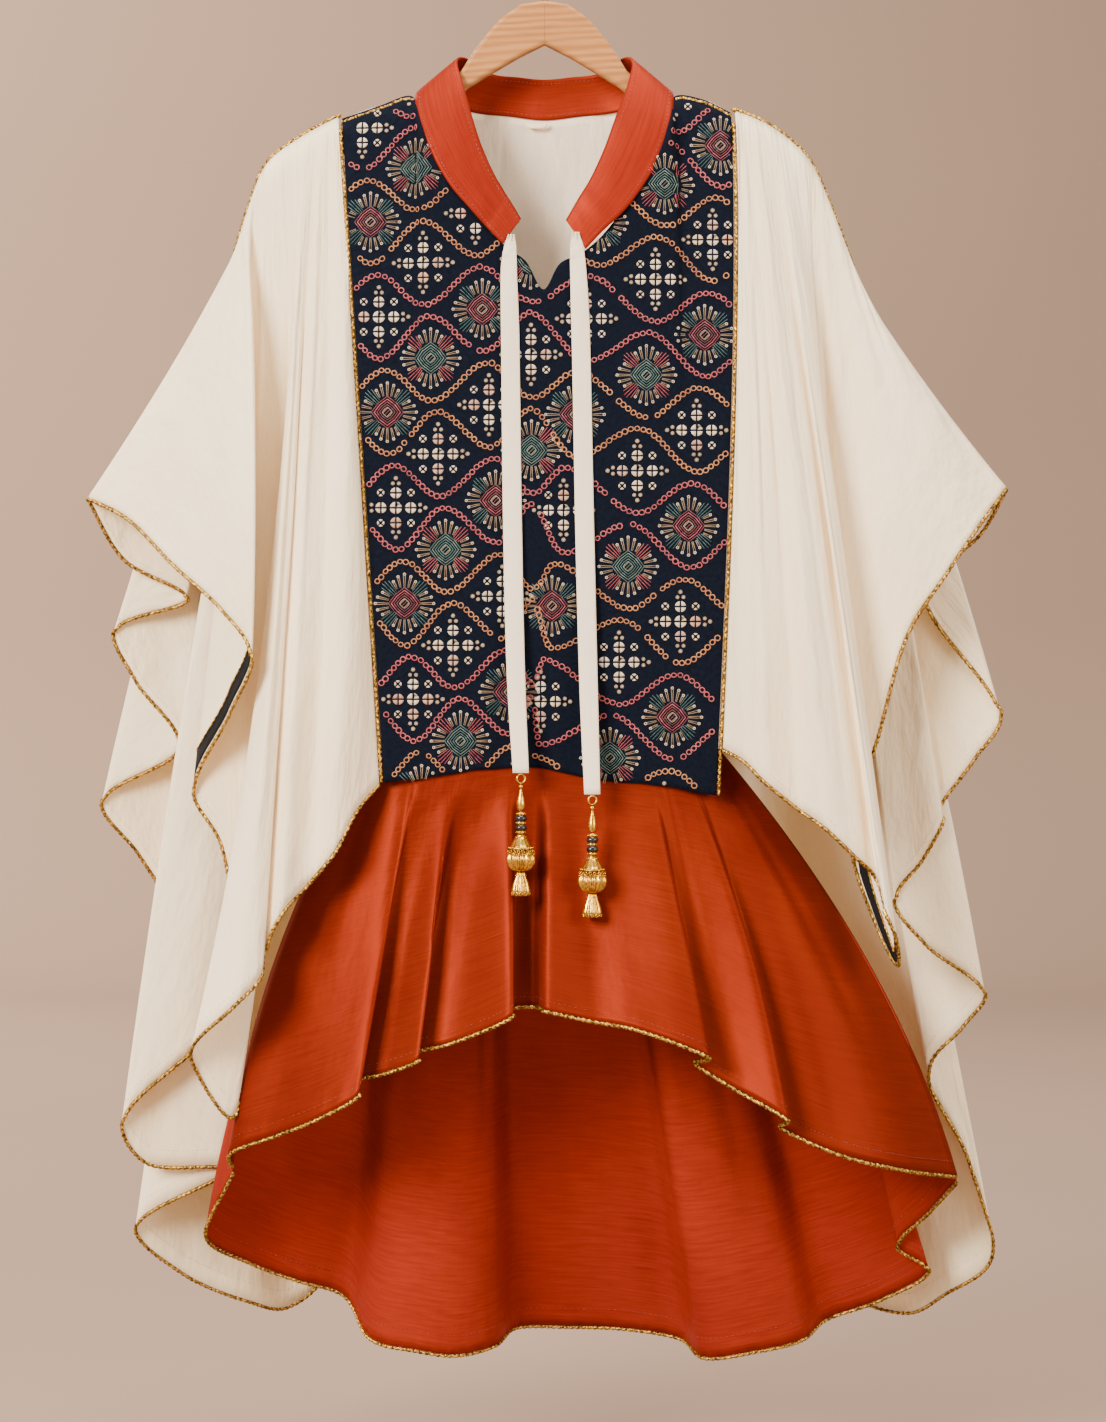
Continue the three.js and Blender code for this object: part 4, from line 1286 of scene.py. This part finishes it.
def lathe(profile, sides, ribs=0, rib_depth=0.0, twist=0.0):
    """A turned piece about -Z from radius and drop, its sides ribbed if asked."""
    mesh = bmesh.new()
    verts = [mesh.verts.new((max(r, 0) * MM, 0, -below * MM)) for r, below in profile]
    for a, b in zip(verts, verts[1:]):
        mesh.edges.new((a, b))
    bmesh.ops.spin(mesh, geom=list(mesh.verts) + list(mesh.edges), cent=(0, 0, 0), axis=(0, 0, 1),
                   angle=math.tau, steps=sides, use_merge=True)
    bmesh.ops.remove_doubles(mesh, verts=mesh.verts, dist=2e-6)
    if ribs:
        for v in mesh.verts:
            radius = math.hypot(v.co.x, v.co.y)
            angle = math.atan2(v.co.y, v.co.x)
            groove = 1 - rib_depth * (0.5 - 0.5 * math.cos(ribs * angle + twist * v.co.z / MM))
            if radius > 1e-5:
                v.co.x *= groove
                v.co.y *= groove
    bmesh.ops.recalc_face_normals(mesh, faces=mesh.faces)
    return mesh


def curve_profile(profile, per=5):
    """The same profile with its corners rounded."""
    points = [Vector((r, below, 0)) for r, below in profile]
    count = (len(points) - 1) * per
    made = [smooth(points, k / count) for k in range(count + 1)]
    made[0].x = made[-1].x = 0
    return [(p.x, p.y) for p in made]


def merge_into(target, source):
    data = bpy.data.meshes.new("part")
    source.to_mesh(data)
    source.free()
    target.from_mesh(data)
    bpy.data.meshes.remove(data)


def wire_ring(mesh, radius, wire, sides, steps):
    """A ring of round wire, lying about the Z axis. Gives its vertices."""
    before = set(mesh.verts)
    section = bmesh.ops.create_circle(mesh, segments=sides, radius=wire * MM)["verts"]
    for v in section:
        v.co = Matrix.Translation((radius * MM, 0, 0)) @ UPRIGHT @ v.co
    edges = list({e for v in section for e in v.link_edges})
    bmesh.ops.spin(mesh, geom=section + edges, cent=(0, 0, 0), axis=(0, 0, 1), angle=math.tau,
                   steps=steps, use_merge=True)
    return [v for v in mesh.verts if v not in before]


def little_rings(mesh, count, radius, below, size, tube):
    """A row of small wire rings that stand round the axis."""
    for k in range(count):
        angle = math.tau * k / count
        ring = bmesh.new()
        wire_ring(ring, size, tube, 5, 10)
        bmesh.ops.remove_doubles(ring, verts=ring.verts, dist=1e-6)
        place = Matrix.Rotation(angle, 4, "Z") @ Matrix.Translation((radius * MM, 0, -below * MM))
        ring.transform(place @ Matrix.Rotation(math.pi / 2, 4, "Z") @ UPRIGHT)
        bmesh.ops.recalc_face_normals(ring, faces=ring.faces)
        merge_into(mesh, ring)


def beads_round(mesh, count, radius, below, size):
    """A row of small balls round the axis."""
    for k in range(count):
        angle = math.tau * k / count
        spot = Vector((radius * math.cos(angle), radius * math.sin(angle), -below)) * MM
        bmesh.ops.create_icosphere(mesh, subdivisions=1, radius=size * MM,
                                   matrix=Matrix.Translation(spot))


def rondelle(middle, half, core, widest):
    """The profile of a flat bead: its middle's drop, half height, the flat's radius and its own."""
    return [(0, middle - half), (core, middle - half), (widest, middle), (core, middle + half),
            (0, middle + half)]


def pendant(side, x, y, z):
    """Wire loop, drop, beads, cone cap, melon bead and bell, one below the other on a ribbon."""
    place = Matrix.Translation(seen(x, y, z) * MM)
    body = f"pendant_{side}"

    def keep(name, mesh, material, node):
        mesh.transform(place)
        nodes = [f"{body}_{node}"] if node else ()
        finish_mesh(f"{name}_{side}", mesh, material, body, nodes)

    loop = bmesh.new()
    for tilt in LOOP_TILTS:
        for v in wire_ring(loop, LOOP_RADIUS, LOOP_WIRE, 8, 28):
            v.co = Matrix.Rotation(tilt, 4, "Y") @ v.co
    bmesh.ops.remove_doubles(loop, verts=loop.verts, dist=1e-7)
    loop.transform(Matrix.Translation((0, 0, -LOOP_DROP * MM)) @ UPRIGHT)
    bmesh.ops.recalc_face_normals(loop, faces=loop.faces)
    keep("wire_loop", loop, BRASS, "loop")
    keep("teardrop", lathe(curve_profile(DROP, 6), 32), BRASS, "drop")
    stack = lathe(BEAD_CORE, 12)
    for level in GOLD_LEVELS:
        merge_into(stack, lathe(curve_profile(rondelle(level, 1.5, 3, 3.9), 4), 28))
        beads_round(stack, 14, 3.7, level, 0.62)
    keep("gold_rondelles", stack, BRASS, "beads")
    glass = bmesh.new()
    for level in BLACK_LEVELS:
        profile = rondelle(level, 2.5, 3.6, 5.2)
        profile[0], profile[-1] = (0, level - 2.6), (0, level + 2.6)
        merge_into(glass, lathe(curve_profile(profile, 4), 18, 9, 0.05))
    keep("black_rondelles", glass, BEAD, None)
    cap = lathe(CONE_CAP, 48, 12, 0.06)
    beads_round(cap, 12, 4.2, 52.6, 0.6)
    beads_round(cap, 22, 9.9, 61.4, 0.85)
    keep("cone_cap", cap, BRASS, "cap")
    melon = lathe(curve_profile(MELON, 7), 126, 18, 0.16)
    beads_round(melon, 18, 10.9, 66.6, 0.8)
    little_rings(melon, 18, 10.9, 64.6, 1.2, 0.32)
    keep("melon_bead", melon, BRASS, "melon")
    bell = lathe(BELL, 72, 12, 0.13)
    beads_round(bell, 10, 4.3, 84.4, 0.5)
    little_rings(bell, 12, 7.6, 99.3, 1.35, 0.3)
    keep("bell", bell, BRASS, "bell")


# Sewing stitches that show: short raised threads beside an edge
# Each seam's lines down the cloth, the stitches' pitch, half thickness and distance from the cloth
CAPE_STITCHES = ((0.985,), 3.4, 0.16, 0.62)
SKIRT_STITCHES = ((0.968,), 3.2, 0.18, 0.62)
COLLAR_STITCHES = ((0.1, 0.9), 3.0, 0.2, 1.08)
SEAM_POINTS = 400
STITCH_SHARE = 0.62


def stitch_row(name, sheet, material, slot, rows, pitch, thick, out):
    """Stitches along lines of constant t, standing out to both faces of the cloth."""
    heap = Heap()
    for t in rows:
        line = [sheet(k / SEAM_POINTS, t) for k in range(SEAM_POINTS + 1)]
        gone = 0.0
        need = 0.0
        for k in range(SEAM_POINTS):
            a, b = line[k], line[k + 1]
            gone += (b - a).length
            if gone < need or (b - a).length < 1e-6:
                continue
            need = gone + pitch
            way = (b - a).normalized()
            normal = sheet.normal(k / SEAM_POINTS, t)
            for side in (1, -1):
                spot = (a + normal * side * out) * MM
                turn = way.to_track_quat("Z", "Y").to_matrix().to_4x4()
                bmesh.ops.create_cone(heap.work(), cap_ends=True, segments=4, radius1=thick * MM,
                                      radius2=thick * MM, depth=pitch * STITCH_SHARE * MM,
                                      matrix=Matrix.Translation(spot) @ turn)
    finish_mesh(name, heap.gather(), material, "tunic")


# Hanger, in millimetres
WOOD_HALF = 6
WOOD_ROUNDING = 3.4
RIGHT_ARM_SHARE = 0.985
GLUE_LINE = (0.5, 12.1, 30)
GLUE_LINE_Z = -78.5
HOOK_WIRE = 3.6
HOOK_RADIUS = 20
HOOK_START = -80
HOOK_SWEEP = 225
HOOK_SHANK = [(7, -42), (2.5, -47), (0.5, -52), (0, -56), (0, -59.7)]
HOOK_POINTS = 160
COLLAR_Z = -58.8


def hanger():
    """The shaped wood, its edges rounded over, and the glue line at its middle."""
    left = WOOD_UPPER + WOOD_LOWER
    right = [(-x * RIGHT_ARM_SHARE, z) for x, z in left[1:-1][::-1]]
    mesh = bmesh.new()
    verts = [mesh.verts.new((x * MM, -WOOD_HALF * MM, z * MM)) for x, z in left + right]
    face = mesh.faces.new(verts)
    made = bmesh.ops.extrude_face_region(mesh, geom=[face])["geom"]
    for v in made:
        if isinstance(v, bmesh.types.BMVert):
            v.co.y = WOOD_HALF * MM
    bmesh.ops.recalc_face_normals(mesh, faces=mesh.faces)
    rims = [e for e in mesh.edges if abs(e.verts[0].co.y - e.verts[1].co.y) < 1e-6]
    bmesh.ops.bevel(mesh, geom=rims, offset=WOOD_ROUNDING * MM, segments=4, profile=0.5,
                    affect="EDGES", material=-1)
    bmesh.ops.triangulate(mesh, faces=[f for f in mesh.faces if len(f.verts) > 4])
    piece = finish_mesh("wooden_hanger", mesh, wood_paint(), "tunic", ["hanger_wood"])
    for polygon in piece.data.polygons:
        polygon.use_smooth = abs(polygon.normal.y) < 0.999
    joint = bmesh.new()
    size = Vector(GLUE_LINE) * MM
    bmesh.ops.create_cube(joint, size=1, matrix=Matrix.Diagonal((*size, 1)))
    bmesh.ops.bevel(joint, geom=list(joint.edges), offset=0.1 * MM, segments=2, profile=0.5,
                    affect="EDGES", material=-1)
    joint.transform(Matrix.Translation((0, 0, GLUE_LINE_Z * MM)))
    dark = Paint("glue_line", 0.7)
    spread = dark.noise(dark.space(), 300.0)
    dark.color(dark.ramp(spread, (0.3, (0.12, 0.05, 0.02)), (0.7, (0.2, 0.09, 0.04))))
    finish_mesh("glue_line", joint, dark.material, "tunic")


def hook():
    """The steel hook, its ball tip and the collar where it goes into the wood."""
    radius = HOOK_RADIUS + HOOK_WIRE / 2
    points = []
    for k in range(37):
        angle = math.radians(HOOK_START + HOOK_SWEEP * k / 36)
        x, z = radius * math.sin(angle), radius * math.cos(angle) - HOOK_RADIUS
        points.append(Vector((x, 0, z)))
    points += [Vector((x, 0, z)) for x, z in HOOK_SHANK]
    curve = bpy.data.curves.new("hook", "CURVE")
    curve.dimensions = "3D"
    curve.bevel_depth = HOOK_WIRE / 2 * MM
    curve.bevel_resolution = 6
    curve.use_fill_caps = True
    line = curve.splines.new("POLY")
    line.points.add(HOOK_POINTS)
    for k in range(HOOK_POINTS + 1):
        line.points[k].co = (*(smooth(points, k / HOOK_POINTS) * MM), 1)
    bent = bpy.data.objects.new("hook_curve", curve)
    bpy.context.collection.objects.link(bent)
    evaluated = bent.evaluated_get(bpy.context.evaluated_depsgraph_get())
    data = bpy.data.meshes.new_from_object(evaluated)
    bpy.data.objects.remove(bent)
    mesh = bmesh.new()
    mesh.from_mesh(data)
    bmesh.ops.create_uvsphere(mesh, u_segments=20, v_segments=12, radius=HOOK_WIRE * 0.72 * MM,
                              matrix=Matrix.Translation(points[0] * MM))
    bmesh.ops.create_cone(mesh, cap_ends=True, segments=24, radius1=3.4 * MM, radius2=2.6 * MM,
                          depth=2.2 * MM, matrix=Matrix.Translation((0, 0, COLLAR_Z * MM)))
    finish_mesh("steel_hook", mesh, steel_paint(), "tunic", ["hanger_hook"])


# Sequins, in millimetres: how many to a row, the rows' drops, and one sequin's two radii and depth
SEQUINS = 34
SEQUIN_ROWS = (0, 2.8)
SEQUIN = (1.3, 0.9, 0.5)
SEQUIN_OUT = 1.2


def sequin_seam(panel_sheet):
    """Gold sequins along the panel's two short shoulder seams."""
    mesh = bmesh.new()
    foot, top, depth = SEQUIN
    for start, end in ((0.0, 0.1), (0.9, 1.0)):
        for k in range(SEQUINS):
            u = start + (end - start) * k / (SEQUINS - 1)
            place = panel_sheet.base(u, 0.004)
            for drop in SEQUIN_ROWS:
                aside = draw.uniform(-0.6, 0.6)
                spot = place + Vector((aside, -SEQUIN_OUT, draw.uniform(-0.3, 0.3) - drop))
                turn = Matrix.Rotation(math.pi / 2 + draw.uniform(-0.5, 0.5), 4, "X")
                bmesh.ops.create_cone(mesh, cap_ends=True, segments=8, radius1=foot * MM,
                                      radius2=top * MM, depth=depth * MM,
                                      matrix=Matrix.Translation(spot * MM) @ turn)
    finish_mesh("shoulder_sequins", mesh, GOLD, "tunic")


# The ties' ends as seen, and where the braids lie: how far past an edge, and their half sizes
PENDANT_LEFT = (-20, -55, -708.2)
PENDANT_RIGHT = (40, -58, -726.2)
HEM_OUT = 1.7
SIDE_OUT = 2.0
SHOULDER_BRAID = (2.3, 1.6)
SIDE_BRAID = (1.8, 1.1)


def main():
    camera()
    backdrop()
    lights()
    hanger()
    hook()
    panel_sheet, panel = bodice()
    embroider(panel)
    sheets = wings()
    skirts = skirt()
    band = collar()
    tie("left", TIE_LEFT)
    tie("right", TIE_RIGHT)
    pendant("left", *PENDANT_LEFT)
    pendant("right", *PENDANT_RIGHT)
    for name, sheet in sheets.items():
        braid(f"braid_cape_{name}", beyond(sheet, 900, HEM_OUT), f"wing_{name}_hem_piping")
    for name, sheet in skirts.items():
        braid(f"braid_skirt_{name}", beyond(sheet, 900, HEM_OUT), f"skirt_{name}_hem_piping")
    for side, seam in (("left", SHOULDER_LEFT), ("right", SHOULDER_RIGHT)):
        points = [shoulder_point(seam, k / 60) + Vector((0, 0, HEM_OUT)) for k in range(61)]
        braid(f"braid_shoulder_{side}", points, f"shoulder_piping_{side}", SHOULDER_BRAID)
    for side, edge in (("left", "first"), ("right", "last")):
        points = beyond(panel_sheet, 300, SIDE_OUT, edge)[4:]
        braid(f"braid_panel_{side}", points, f"panel_piping_{side}", SIDE_BRAID)
    hem_tape("front_left", sheets["front_left"], 0.6, 0.9, -1)
    hem_tape("front_right", sheets["front_right"], 0.34, 0.66, 1)
    hang_loop()
    sequin_seam(panel_sheet)
    cotton = thread_paint("sewing_cream", (0.42, 0.3, 0.19), (0.6, 0.46, 0.32))
    rust = thread_paint("sewing_rust", (0.12, 0.006, 0.001), (0.24, 0.018, 0.003))
    for name, sheet in sheets.items():
        stitch_row(f"hem_stitches_cape_{name}", sheet, cotton, "cream_cloth", *CAPE_STITCHES)
    for name, sheet in skirts.items():
        stitch_row(f"hem_stitches_skirt_{name}", sheet, rust, "orange_silk", *SKIRT_STITCHES)
    stitch_row("collar_stitches", band, rust, "orange_silk", *COLLAR_STITCHES)


GOLD = gold_paint()
BRASS = brass_paint()
BEAD = bead_paint()
main()
